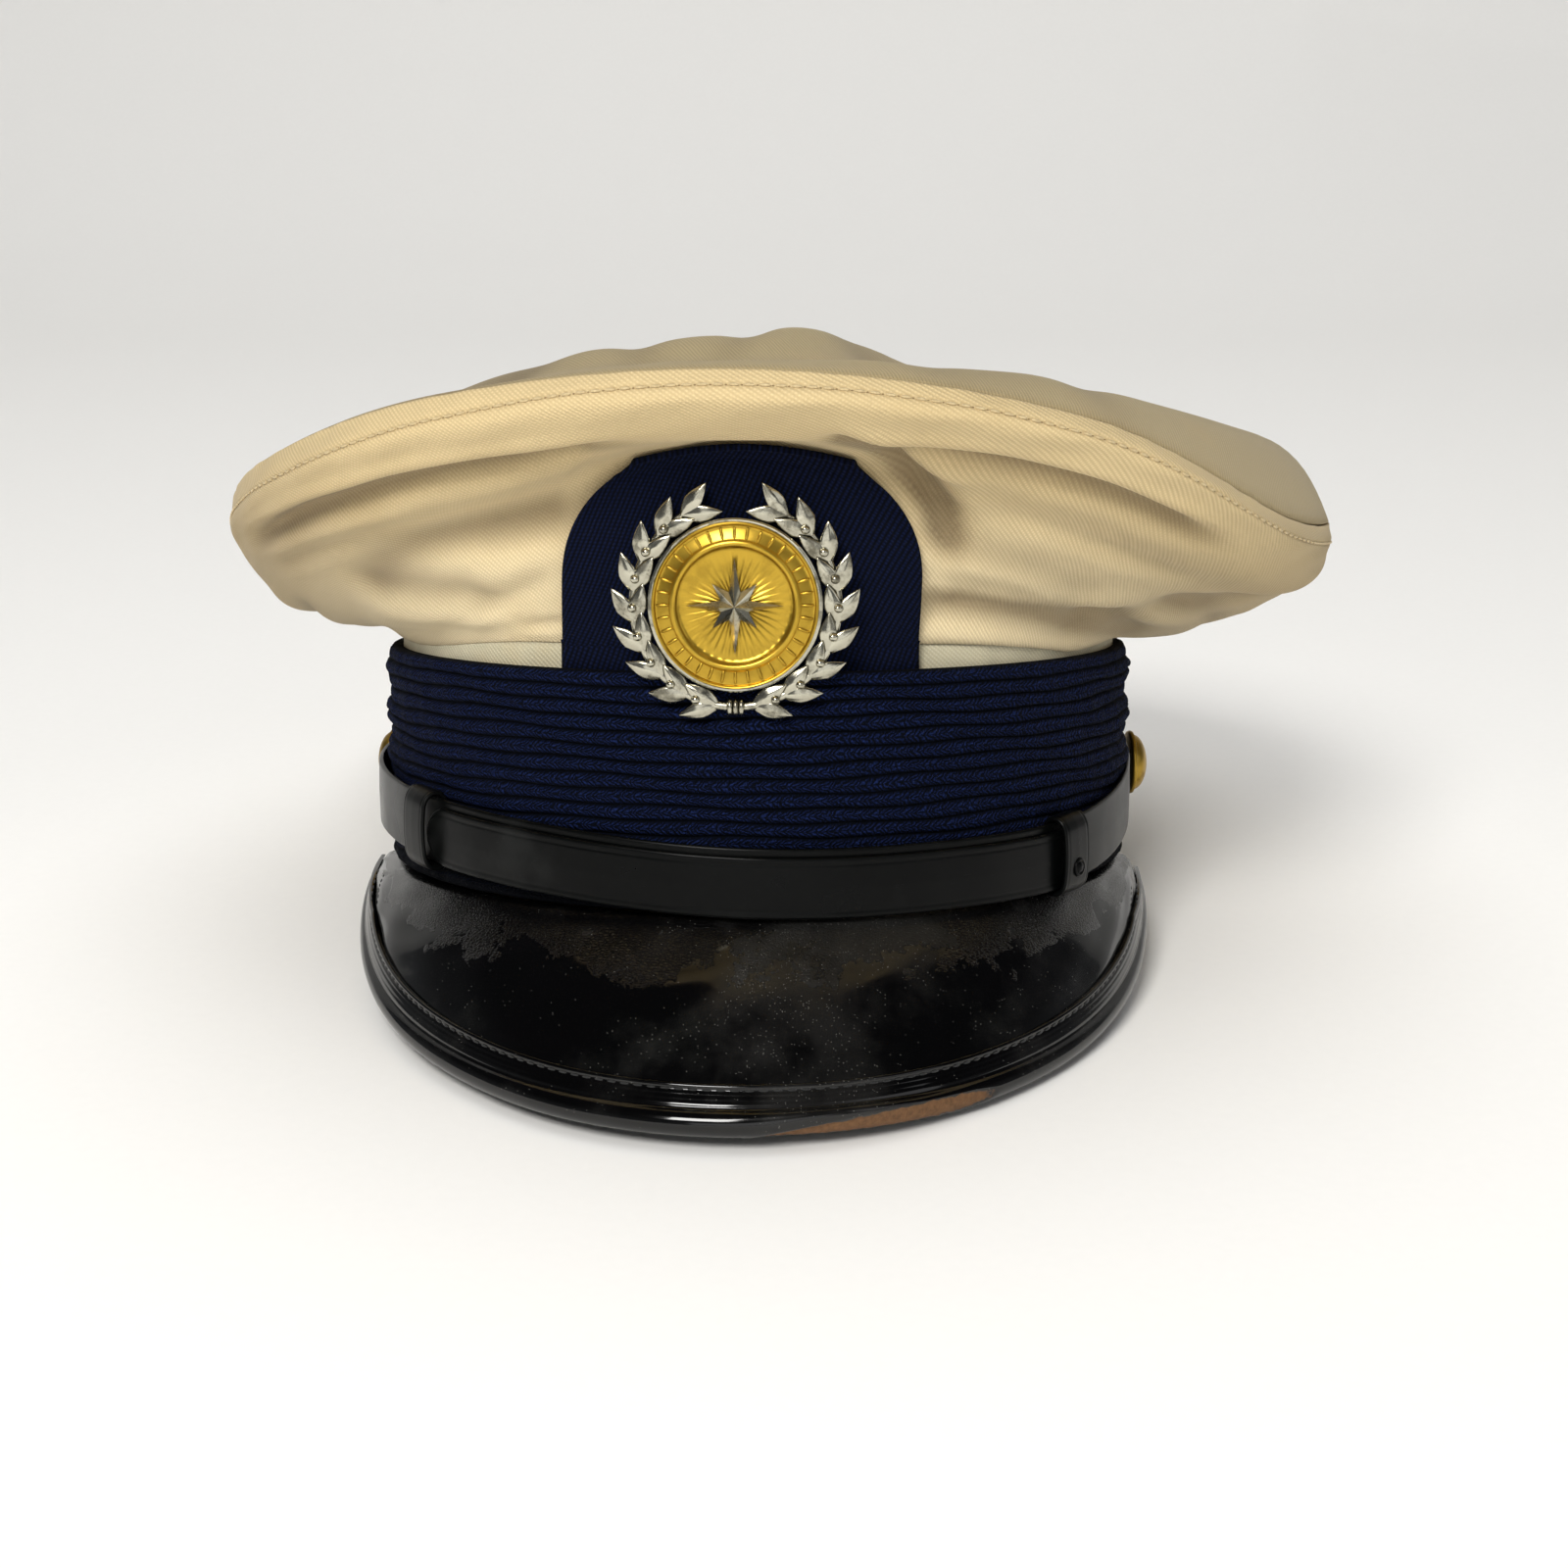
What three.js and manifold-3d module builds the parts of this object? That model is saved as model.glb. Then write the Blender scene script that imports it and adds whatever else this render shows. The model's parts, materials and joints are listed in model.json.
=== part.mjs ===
// A peaked uniform cap: a cream twill cover over a ribbed navy band, a patent peak with a bound edge,
// a chin strap with two keepers between two gilt buttons, and a metal badge on a rounded cloth tab.
// Millimetres. The front looks along -Y. Pieces are made in the cap's own frame, with the band's lower
// rim at z = 0, and the finished cap is leaned back until it rests on its peak and the back of its band.
import * as THREE from "three";
import { mergeVertices } from "three/addons/utils/BufferGeometryUtils.js";
import Module from "manifold-3d";

const wasm = await Module();
wasm.setup();

// Driving dimensions
const gap = 0.3; // between neighbouring pieces
const head = { halfWidth: 82.9, halfLength: 98 }; // the band's inside, for a 57 cm head
const band = { height: 48.2, backing: 1.8, ribs: 16, ribDepth: 0.8, angles: 34 };
const cloth = { side: 1.4, top: 1.4, hem: 1.2, tab: 1.5 };
const hem = { from: 38, seam: 53, frontInset: 3.5, frontAngle: 24, fade: 14 };
const rim = { halfWidth: 126.3, front: 131, back: 141, shift: 5.1 };
const crown = { angles: 44, centreZ: 96, dishPower: 1.6, rollShare: 0.14 };
const tab = { halfWidth: 35.2, from: 42, straight: 20, height: 52.2, arch: 38, fullness: 3, lift: 1.1 };
const tabGrid = { rows: 10, columns: 8 };
const peak = { thickness: 2.2, twist: 1.3, endAngle: 84, bulge: 2.6, angles: 36, steps: 5 };
const flange = { innerGrow: -1.2, outerGrow: 2.2, z: -1.45 }; // the peak's flat inner edge, under the band
const binding = { arm: 8.5, wall: 0.9, noseRadius: 2.3 };
const strap = { width: 14.2, thickness: 2.2, bevel: 0.5, lean: 5, steps: 40 };
const keeper = { length: 10, wall: 1.0, slack: 0.6, corner: 0.8, angle: 50 };
const button = { radius: 7.6, angle: 96, sides: 20 };
const rivet = { radius: 2.0, height: 0.9, sides: 12, below: 2.6 };
const badge = { z: 62, y: -102.5, lean: 4.8, bendRadius: 125 };
const disc = { radius: 17.2, back: 1.6, rim: 3.4, field: 2.7, inner: 12.2, postRadius: 1.5, sides: 28 };
const star = { long: 9.6, short: 6.2, valley: 3.5, back: 3.0, edge: 0.3, apex: 5.0 };
const wreath = { radius: 20.3, middle: 1.5, leaves: 6, foot: -92, from: -76, to: 58, stem: 1.0, spread: 28 };
const leaf = { length: 4.9, width: 2.1, thick: 1.1, lift: 0.3 };

// Where the side's rows lie on the way up from the hem, and the top panel's rings as shares of its radius.
const sideShares = [
  ...[0, 0.07, 0.13, 0.19, 0.25, 0.31, 0.38, 0.45],
  ...[0.52, 0.575, 0.62, 0.68, 0.76, 0.85, 0.93, 0.996],
];
const topShares = [0.998, 0.96, 0.88, 0.76, 0.58, 0.34, 0.12];

// The crown's cross-sections, one row every 30 degrees from the front round by +X and the back. Each
// "Out" is a share of the way from the hem to the rim, and each "Z" a height above the band's lower rim.
// The roll is how far the top panel swells up above its seam.
const crownColumns = [
  ...["lowOut", "lowZ", "midOut", "midZ", "lipOut", "lipZ"],
  ...["rimZ", "seamOut", "seamZ", "roll"],
];
const crownSections = [
  [0.1, 70, 0.27, 92.4, 0.66, 94.2, 100.5, 0.962, 107, 5],
  [0.14, 64, 0.36, 80, 0.74, 87.5, 93, 0.965, 98.5, 10],
  [0.28, 57, 0.58, 64.5, 0.86, 69, 73.5, 0.985, 78, 20],
  [0.42, 51, 0.78, 58.5, 0.95, 64, 70.5, 0.993, 75.5, 19],
  [0.42, 50, 0.78, 53.5, 0.95, 60, 66.5, 0.985, 71.5, 11],
  [0.38, 50, 0.75, 51, 0.94, 57, 64.5, 0.97, 70, 5],
  [0.36, 50, 0.72, 50.5, 0.93, 55.5, 63, 0.97, 70, 5],
  [0.38, 50, 0.75, 51, 0.94, 57, 64.5, 0.97, 71.5, 5],
  [0.42, 50, 0.78, 53, 0.95, 60, 68, 0.97, 75, 5],
  [0.42, 49.5, 0.78, 56.5, 0.95, 65, 70.5, 0.968, 77.5, 5],
  [0.28, 54.5, 0.58, 67.5, 0.86, 77.5, 82.5, 0.965, 89.5, 4],
  [0.14, 64, 0.36, 81, 0.74, 88.5, 95.5, 0.962, 102.5, 3],
];

// Creases in the side of the crown. Angles are degrees from the front, plus towards +X, and "at" is the
// share of the way up the side where the crease starts and ends.
const creases = [
  { from: -76, to: -4, atFrom: 0.57, atTo: 0.575, depth: 3.2, width: 0.055 },
  { from: -60, to: -14, atFrom: 0.37, atTo: 0.34, depth: 2.8, width: 0.06 },
  { from: -60, to: -32, atFrom: 0.33, atTo: 0.19, depth: 2.2, width: 0.05 },
  { from: 4, to: 78, atFrom: 0.575, atTo: 0.6, depth: 3.0, width: 0.055 },
  { from: 2, to: 46, atFrom: 0.58, atTo: 0.27, depth: 3.4, width: 0.07 },
  { from: 18, to: 54, atFrom: 0.31, atTo: 0.24, depth: 1.8, width: 0.05 },
  { from: 16, to: 78, atFrom: 0.18, atTo: 0.09, depth: 2.8, width: 0.055 },
  { from: 48, to: 82, atFrom: 0.1, atTo: 0.5, depth: 1.8, width: 0.08 },
];

// Soft swellings of the top panel, with their centre, spread and height.
const swellings = [
  { x: -9, y: -60, spreadX: 53, spreadY: 38, height: 12.5 },
  { x: 14, y: -58, spreadX: 16, spreadY: 20, height: 3 },
  { x: 34, y: 40, spreadX: 40, spreadY: 45, height: 4 },
  { x: -45, y: 45, spreadX: 30, spreadY: 30, height: -4 },
];

// How far outside the head's oval the peak's edge lies and how far below the band, every 15 degrees.
const peakSections = [
  { out: 35, drop: 36 },
  { out: 32.3, drop: 35.3 },
  { out: 25.3, drop: 32.8 },
  { out: 18.8, drop: 28 },
  { out: 12.6, drop: 20.5 },
  { out: 7, drop: 10.5 },
  { out: 3.4, drop: 3.4 },
];

// The strap's route round the front, with how far it stands off the ribs and the height of its middle.
const strapStations = [
  { angle: -104, off: 0.4, z: 19.5 },
  { angle: -94, off: 0.9, z: 17.6 },
  { angle: -80, off: 2.1, z: 15.6 },
  { angle: -60, off: 2.3, z: 13.4 },
  { angle: -30, off: 1.8, z: 10 },
  { angle: 0, off: 1.7, z: 6.6 },
  { angle: 30, off: 1.8, z: 6.5 },
  { angle: 50, off: 1.8, z: 7.4 },
  { angle: 66, off: 1.2, z: 10.2 },
  { angle: 80, off: 0.7, z: 13.6 },
  { angle: 94, off: 0.6, z: 17.4 },
  { angle: 104, off: 0.4, z: 19.2 },
];

const radians = THREE.MathUtils.degToRad;
const lerp = THREE.MathUtils.lerp;
const smooth = (x) => THREE.MathUtils.smoothstep(x, 0, 1);

// Evenly spaced values from one end to the other, both included.
function steps(count, from = 0, to = 1) {
  return Array.from({ length: count + 1 }, (_, i) => lerp(from, to, i / count));
}

const named = (columns, row) => Object.fromEntries(columns.map((column, i) => [column, row[i]]));

// The columns of a table at a place between its rows, which are numbered by a function.
function blendRows(row, place) {
  const i = Math.floor(place);
  const f = place - i;
  const blended = {};
  for (const column of Object.keys(row(0))) {
    const [a, b, c, d] = [row(i - 1), row(i), row(i + 1), row(i + 2)].map((r) => r[column]);
    blended[column] = b + 0.5 * f * (c - a + f * (2 * a - 5 * b + 4 * c - d + f * (3 * (b - c) + d - a)));
  }
  return blended;
}

const crownRow = (i) => named(crownColumns, crownSections.at(i % crownSections.length));
const peakRow = (i) => peakSections[Math.min(Math.abs(i), peakSections.length - 1)];

// A closed solid from rows of points, each row a closed loop. A ring joins its last row to its first.
// Otherwise each end is closed across its loop, or up to an apex where one is given.
function solidFromRows(rows, { ring = false, firstApex = null, lastApex = null } = {}) {
  const n = rows[0].length;
  const points = rows.flat();
  const index = [];
  const at = (r, i) => (r % rows.length) * n + (i % n);
  for (let r = 0; r < rows.length - (ring ? 0 : 1); r++) {
    for (let i = 0; i < n; i++) {
      index.push(at(r, i), at(r, i + 1), at(r + 1, i + 1), at(r, i), at(r + 1, i + 1), at(r + 1, i));
    }
  }
  const close = (r, apex, turned) => {
    const add = (a, b, c) => index.push(...(turned ? [a, c, b] : [a, b, c]));
    if (apex) {
      points.push(apex);
      for (let i = 0; i < n; i++) add(at(r, i + 1), at(r, i), points.length - 1);
      return;
    }
    for (let i = 0; i + 1 < n - 1 - i; i++) {
      const j = n - 1 - i;
      add(at(r, i + 1), at(r, i), at(r, j));
      if (i + 1 < j - 1) add(at(r, i + 1), at(r, j), at(r, j - 1));
    }
  };
  if (!ring) {
    close(0, firstApex, false);
    close(rows.length - 1, lastApex, true);
  }
  const geometry = new THREE.BufferGeometry().setFromPoints(points);
  geometry.setIndex(index);
  return faceOut(geometry);
}

// Turns a closed geometry's faces outwards, by the sign of its volume.
function faceOut(geometry) {
  const p = geometry.getAttribute("position");
  const index = geometry.getIndex().array;
  const [a, b, c] = [new THREE.Vector3(), new THREE.Vector3(), new THREE.Vector3()];
  let volume = 0;
  for (let i = 0; i < index.length; i += 3) {
    a.fromBufferAttribute(p, index[i]);
    b.fromBufferAttribute(p, index[i + 1]);
    c.fromBufferAttribute(p, index[i + 2]);
    volume += a.dot(b.cross(c));
  }
  if (volume < 0) index.reverse();
  geometry.computeVertexNormals();
  return geometry;
}

// The head's oval, grown by a distance, at an angle from the front.
function oval(angle, grow, z) {
  return new THREE.Vector3(
    (head.halfWidth + grow) * Math.sin(angle),
    -(head.halfLength + grow) * Math.cos(angle),
    z,
  );
}

// How far inside the band the hem stands: further in at the front, where the tab comes between.
function hemInset(angle) {
  const past = (Math.abs(THREE.MathUtils.radToDeg(angle)) - hem.frontAngle) / hem.fade;
  return lerp(hem.frontInset, gap, smooth(past));
}

function rimPoint(angle, share) {
  const hemPoint = oval(angle, -hemInset(angle), 0);
  const halfLength = Math.cos(angle) > 0 ? rim.front : rim.back;
  const outerX = rim.shift + rim.halfWidth * Math.sin(angle);
  return hemPoint.lerp(new THREE.Vector3(outerX, -halfLength * Math.cos(angle), 0), share);
}

// The side's outer face before its creases, from the hem's seam at t = 0 to the top seam at t = 1.
function plainSide(angle, t) {
  const s = blendRows(crownRow, angle / radians(30));
  const profile = new THREE.SplineCurve([
    new THREE.Vector2(0, hem.seam),
    new THREE.Vector2(s.lowOut, s.lowZ),
    new THREE.Vector2(s.midOut, s.midZ),
    new THREE.Vector2(s.lipOut, s.lipZ),
    new THREE.Vector2(1, s.rimZ),
    new THREE.Vector2(s.seamOut, s.seamZ),
  ]);
  const place = profile.getPoint(t);
  return rimPoint(angle, place.x).setZ(place.y);
}

// The top panel, from the seam at share 1 to the middle at share 0. It rolls up from the seam.
function plainTop(angle, share) {
  const seam = plainSide(angle, 1);
  const { roll } = blendRows(crownRow, angle / radians(30));
  const p = new THREE.Vector3(rim.shift, (rim.back - rim.front) / 2, 0).lerp(seam, share);
  const fromEdge = Math.min((1 - share) / crown.rollShare, 1);
  const rolled = roll * (Math.sin((fromEdge * Math.PI) / 2) - 1);
  p.z = lerp(crown.centreZ, seam.z + roll, share ** crown.dishPower) + rolled;
  for (const s of swellings) {
    const far = ((p.x - s.x) / s.spreadX) ** 2 + ((p.y - s.y) / s.spreadY) ** 2;
    p.z += s.height * Math.exp(-far * far) * smooth(fromEdge);
  }
  return p;
}

const plainCrown = (angle, t) => (t <= 1 ? plainSide(angle, t) : plainTop(angle, 2 - t));

// The outward direction of a surface that is given by an angle and a place along its section.
function outward(surface, angle, t) {
  const step = 0.012;
  const across = surface(angle + step, t).sub(surface(angle - step, t));
  const along = surface(angle, t + step).sub(surface(angle, Math.max(t - step, 0)));
  return across.cross(along).normalize();
}

// How deep the creases are at a place on the side.
function creaseDepth(angle, t) {
  const degrees = THREE.MathUtils.radToDeg(angle);
  let depth = 0;
  for (const c of creases) {
    const along = (degrees - c.from) / (c.to - c.from);
    if (along <= 0 || along >= 1) continue;
    const ends = smooth(along / 0.25) * smooth((1 - along) / 0.25);
    const far = (t - lerp(c.atFrom, c.atTo, along)) / c.width;
    depth += c.depth * ends * Math.exp(-far * far);
  }
  return depth;
}

// A point of the crown, lifted off its outer face by a distance. Both sides of the seam share its mitre.
function crownPoint(angle, t, lift = 0) {
  const place = Math.abs(t - 1) < 0.01 ? 1 : t;
  const normal = t > 1.98 ? new THREE.Vector3(0, 0, 1) : outward(plainCrown, angle, place);
  return plainCrown(angle, t).addScaledVector(normal, lift - creaseDepth(angle, t));
}

const wholeTurn = (count) => steps(count, -Math.PI, Math.PI).slice(0, -1);

function crownSide() {
  return solidFromRows(
    wholeTurn(crown.angles).map((angle) => [
      ...sideShares.map((t) => crownPoint(angle, t)),
      ...sideShares.toReversed().map((t) => crownPoint(angle, t, -cloth.side)),
    ]),
    { ring: true },
  );
}

function crownTop() {
  const ringAt = (share, lift) => wholeTurn(crown.angles).map((angle) => crownPoint(angle, 2 - share, lift));
  return solidFromRows(
    [...topShares.toReversed().map((s) => ringAt(s, 0)), ...topShares.map((s) => ringAt(s, -cloth.top))],
    { firstApex: crownPoint(0, 2), lastApex: crownPoint(0, 2, -cloth.top) },
  );
}

function crownHem() {
  return solidFromRows(
    wholeTurn(band.angles).map((angle) => {
      const outer = -hemInset(angle);
      return [
        oval(angle, outer, hem.from),
        oval(angle, outer, hem.seam - gap),
        oval(angle, outer - cloth.hem, hem.seam - gap),
        oval(angle, outer - cloth.hem, hem.from),
      ];
    }),
    { ring: true },
  );
}

// The ribbed braid on its stiff backing, with flat rims above and below.
function ribbedBand() {
  const pitch = band.height / band.ribs;
  const crest = band.backing + band.ribDepth;
  return solidFromRows(
    wholeTurn(band.angles).map((angle) => {
      const ribs = steps(band.ribs - 1).flatMap((_, i) => [
        oval(angle, crest, (i + 0.5) * pitch),
        ...(i < band.ribs - 1 ? [oval(angle, band.backing, (i + 1) * pitch)] : []),
      ]);
      return [
        oval(angle, 0, 0),
        oval(angle, band.backing, 0),
        ...ribs,
        oval(angle, band.backing, band.height),
        oval(angle, 0, band.height),
      ];
    }),
    { ring: true },
  );
}

// The front of the crown and, below its seam, of the hem, by the height of a point.
function frontFace(x, z, lift) {
  const insetWidth = head.halfWidth - hem.frontInset;
  if (z <= hem.seam) return oval(Math.asin(x / (insetWidth + lift)), lift - hem.frontInset, z);
  let [low, high] = [0, 0.5];
  for (let i = 0; i < 24; i++) {
    const middle = (low + high) / 2;
    if (plainSide(0, middle).z < z) low = middle;
    else high = middle;
  }
  const share = (-plainSide(0, low).y - (head.halfLength - hem.frontInset)) / (rim.front - head.halfLength);
  const angle = Math.asin(x / lerp(insetWidth, rim.halfWidth, Math.max(share, 0)));
  return plainSide(angle, low).addScaledVector(outward(plainSide, angle, low), lift);
}

// The cloth tab behind the badge: straight sides, and a round head that runs up under the rim.
function badgeTab() {
  const heights = steps(tabGrid.rows).map((f) => tab.height * Math.sin((f * Math.PI) / 2));
  const rows = heights.map((up) => {
    const round = Math.max(0, (up - tab.straight) / tab.arch);
    const half = tab.halfWidth * (1 - round ** tab.fullness) ** (1 / tab.fullness);
    const across = steps(tabGrid.columns, -half, half);
    return [
      ...across.map((x) => frontFace(x, tab.from + up, tab.lift + cloth.tab)),
      ...across.toReversed().map((x) => frontFace(x, tab.from + up, tab.lift)),
    ];
  });
  return solidFromRows(rows);
}

// The peak's middle face, from the band at share 0 to its edge at share 1, and past it.
function peakPoint(angle, share) {
  const s = blendRows(peakRow, Math.abs(angle) / radians(15));
  const inner = oval(angle, flange.outerGrow, flange.z);
  const outer = oval(angle, s.out, -s.drop - peak.twist * Math.sin(angle));
  const p = inner.clone().lerp(outer, share);
  const normal = peakNormal(inner, outer, angle);
  return p.addScaledVector(normal, peak.bulge * Math.sin(Math.PI * share) * Math.cos(angle) ** 0.5);
}

function peakNormal(inner, outer, angle) {
  const tangent = new THREE.Vector3(Math.cos(angle) * head.halfWidth, Math.sin(angle) * head.halfLength, 0);
  return tangent.normalize().cross(inner.clone().sub(outer).normalize()).normalize();
}

const peakAngles = steps(peak.angles, -radians(peak.endAngle), radians(peak.endAngle));

// Where the peak's edge lies, with its directions: out along the sheet, and up off it.
function peakEdge(angle) {
  const edge = peakPoint(angle, 1);
  const out = edge.clone().sub(peakPoint(angle, 0.9)).normalize();
  const before = peakPoint(angle - 0.02, 1);
  const along = peakPoint(angle + 0.02, 1).sub(before).normalize();
  const up = along.clone().cross(out).normalize().negate();
  out.copy(up).cross(along).normalize().negate();
  return { edge, out, up };
}

function peakSheet() {
  return solidFromRows(
    peakAngles.map((angle) => {
      const { up } = peakEdge(angle);
      const places = steps(peak.steps, 0, 1 - binding.noseRadius / edgeLength(angle));
      const face = (share, side) => {
        return peakPoint(angle, share).addScaledVector(up, (side * peak.thickness) / 2);
      };
      const inner = (side) => oval(angle, flange.innerGrow, flange.z + (side * peak.thickness) / 2);
      const upper = places.map((t) => face(t, 1));
      const lower = places.toReversed().map((t) => face(t, -1));
      return [inner(1), ...upper, ...lower, inner(-1)];
    }),
  );
}

const edgeLength = (angle) => peakPoint(angle, 1).distanceTo(peakPoint(angle, 0));

// The binding: a channel folded over the peak's edge, with a round nose.
function peakBinding() {
  const inner = peak.thickness / 2 + gap;
  const outer = inner + binding.wall;
  return solidFromRows(
    peakAngles.map((angle) => {
      const { edge, out, up } = peakEdge(angle);
      const arm = Math.min(binding.arm, edgeLength(angle) * 0.45);
      const at = (back, height) => {
        const foot = back > 0 ? peakPoint(angle, 1 - back / edgeLength(angle)) : edge.clone();
        return foot.addScaledVector(out, Math.max(-back, 0)).addScaledVector(up, height);
      };
      return [
        at(arm, inner),
        at(arm, outer),
        at(3.4, outer + 0.1),
        at(1.6, binding.noseRadius + 0.5),
        at(-0.4, binding.noseRadius * 0.75),
        at(-1.2, 0),
        at(-0.4, -binding.noseRadius * 0.75),
        at(1.6, -binding.noseRadius - 0.5),
        at(3.4, -outer - 0.1),
        at(arm, -outer),
        at(arm, -inner),
        at(binding.noseRadius - gap, -inner),
        at(binding.noseRadius - gap, inner),
      ];
    }),
  );
}

// The strap's middle line, and its directions at a share of the way along.
const strapLine = new THREE.CatmullRomCurve3(
  strapStations.map((s) => {
    return oval(radians(s.angle), band.backing + band.ribDepth + s.off + strap.thickness / 2, s.z);
  }),
);

// The share of the way along the strap at which it stands at an angle from the front.
function strapShare(degrees) {
  let [low, high] = [0, 1];
  for (let i = 0; i < 24; i++) {
    const middle = (low + high) / 2;
    const p = strapLine.getPointAt(middle);
    if (Math.atan2(p.x, -p.y) < radians(degrees)) low = middle;
    else high = middle;
  }
  return low;
}

function strapFrame(share) {
  const middle = strapLine.getPointAt(share);
  const along = strapLine.getTangentAt(share);
  const out = new THREE.Vector3(along.y, -along.x, 0).normalize();
  const up = out.clone().cross(along).normalize().negate();
  if (up.z < 0) up.negate();
  const lean = radians(strap.lean) * smooth(1 - Math.abs(share - 0.5) * 2.2);
  up.applyAxisAngle(along, lean);
  out.applyAxisAngle(along, lean);
  return { middle, along, up, out };
}

function chinStrap() {
  const [w, t, bevel] = [strap.width / 2, strap.thickness / 2, strap.bevel];
  return solidFromRows(
    steps(strap.steps).map((share) => {
      const { middle, up, out } = strapFrame(share);
      const fromEnd = Math.min(share, 1 - share) * strapLine.getLength();
      const round = Math.min(1, fromEnd / w);
      const half = w * Math.max(Math.sqrt(1 - (1 - round) ** 2), 0.35);
      const at = (u, o) => middle.clone().addScaledVector(up, u).addScaledVector(out, o);
      return [
        at(-half, -t),
        at(-half, t - bevel),
        at(-half + bevel, t),
        at(half - bevel, t),
        at(half, t - bevel),
        at(half, -t),
      ];
    }),
  );
}

// A keeper: a flat loop round the strap, made of a closed band of wall.
function strapKeeper(share) {
  const { middle, along, up, out } = strapFrame(share);
  const [w, t] = [strap.width / 2 + keeper.slack, strap.thickness / 2 + keeper.slack];
  const corner = keeper.corner;
  const inner = [
    [w - corner, t],
    [w, t - corner],
    [w, corner - t],
    [w - corner, -t],
    [corner - w, -t],
    [-w, corner - t],
    [-w, t - corner],
    [corner - w, t],
  ];
  return solidFromRows(
    inner.map(([u, o]) => {
      const at = (grow, end) => {
        const place = middle.clone().addScaledVector(up, u + grow * Math.sign(u));
        place.addScaledVector(out, o + grow * Math.sign(o));
        return place.addScaledVector(along, (end * keeper.length) / 2);
      };
      return [at(0, -1), at(keeper.wall, -1), at(keeper.wall, 1), at(0, 1)];
    }),
    { ring: true },
  );
}

const turns = (count) => steps(count, 0, 2 * Math.PI).slice(0, -1);

// A turned shape from its radius and height down the profile, with its axis up. Both ends are on the axis.
function turned(profile, sides) {
  const rows = profile.slice(0, -1).map(([radius, z]) => {
    return turns(sides).map((a) => new THREE.Vector3(radius * Math.cos(a), radius * Math.sin(a), z));
  });
  return solidFromRows(rows, {
    firstApex: new THREE.Vector3(0, 0, profile[0][1]),
    lastApex: new THREE.Vector3(0, 0, profile.at(-1)[1]),
  });
}

function domedButton() {
  const r = button.radius;
  const profile = [
    [r - 0.6, 0],
    [r, 0.5],
    [r, 1.1],
    [r * 0.86, 2.3],
    [r * 0.6, 3.6],
    [r * 0.3, 4.4],
    [0, 4.7],
  ];
  return turned(profile, button.sides);
}

function domedRivet() {
  const profile = [
    [rivet.radius, 0],
    [rivet.radius * 0.9, rivet.height * 0.5],
    [0, rivet.height],
  ];
  return turned(profile, rivet.sides);
}

// Turns an object so that its own Z looks along a direction.
function aimed(mesh, place, direction) {
  mesh.position.copy(place);
  mesh.quaternion.setFromUnitVectors(new THREE.Vector3(0, 0, 1), direction);
  return mesh;
}

// The badge's pieces lie in their own X-Y plane with Z off the cap, and are bent to follow the tab.
function bent(geometry) {
  const p = geometry.getAttribute("position");
  for (let i = 0; i < p.count; i++) p.setZ(i, p.getZ(i) - p.getX(i) ** 2 / (2 * badge.bendRadius));
  geometry.computeVertexNormals();
  return geometry;
}

// The disc, with a raised edge and inner ring, and a short post behind that reaches back to the tab.
function badgeDisc() {
  const r = disc.radius;
  const seat = frontFace(0, badge.z, tab.lift + cloth.tab);
  const postEnd = (badge.y - seat.y) / Math.cos(radians(badge.lean)) + 1.5 * gap;
  const profile = [
    [disc.postRadius, postEnd],
    [disc.postRadius, disc.back],
    [r - 0.4, disc.back],
    [r, disc.back + 0.5],
    [r - 0.2, disc.rim - 0.2],
    [r - 0.8, disc.rim],
    [r - 1.6, disc.field],
    [disc.inner + 0.8, disc.field],
    [disc.inner, disc.rim],
    [disc.inner - 0.8, disc.field],
    [0, disc.field + 0.1],
  ];
  return bent(turned(profile, disc.sides));
}

// A star of eight points, four of them longer, with a ridge down each point.
function badgeStar() {
  const reach = (i) => (i % 2 ? star.valley : i % 4 ? star.short : star.long);
  const ring = (z) => {
    return turns(16).map((a, i) => new THREE.Vector3(reach(i) * Math.sin(a), reach(i) * Math.cos(a), z));
  };
  return bent(
    solidFromRows([ring(star.back), ring(star.back + star.edge)], {
      firstApex: new THREE.Vector3(0, 0, star.back),
      lastApex: new THREE.Vector3(0, 0, star.apex),
    }),
  );
}

// A closed solid for joining and cutting, and its way back to a geometry.
function manifoldOf(geometry) {
  const bare = geometry.clone();
  bare.deleteAttribute("normal");
  bare.deleteAttribute("uv");
  const merged = faceOut(mergeVertices(bare, 1e-4));
  return new wasm.Manifold(
    new wasm.Mesh({
      numProp: 3,
      vertProperties: merged.getAttribute("position").array,
      triVerts: new Uint32Array(merged.getIndex().array),
    }),
  );
}

function geometryOf(solid) {
  const { vertProperties, triVerts } = solid.getMesh();
  const geometry = new THREE.BufferGeometry();
  geometry.setAttribute("position", new THREE.BufferAttribute(vertProperties, 3));
  geometry.setIndex(new THREE.BufferAttribute(triVerts, 1));
  return geometry;
}

// Where the wreath's stem runs on the right-hand side, at an angle above the level.
function stemPoint(angle) {
  return new THREE.Vector3(wreath.radius * Math.cos(angle), wreath.radius * Math.sin(angle), wreath.middle);
}

function wreathStem() {
  const line = steps(9, radians(wreath.foot), radians(wreath.to)).map(stemPoint);
  return solidFromRows(
    line.map((p) => {
      const out = new THREE.Vector3(p.x, p.y, 0).normalize();
      return turns(5).map((a) => {
        const round = p.clone().addScaledVector(out, wreath.stem * Math.cos(a));
        return round.add(new THREE.Vector3(0, 0, wreath.stem * Math.sin(a)));
      });
    }),
  );
}

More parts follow.
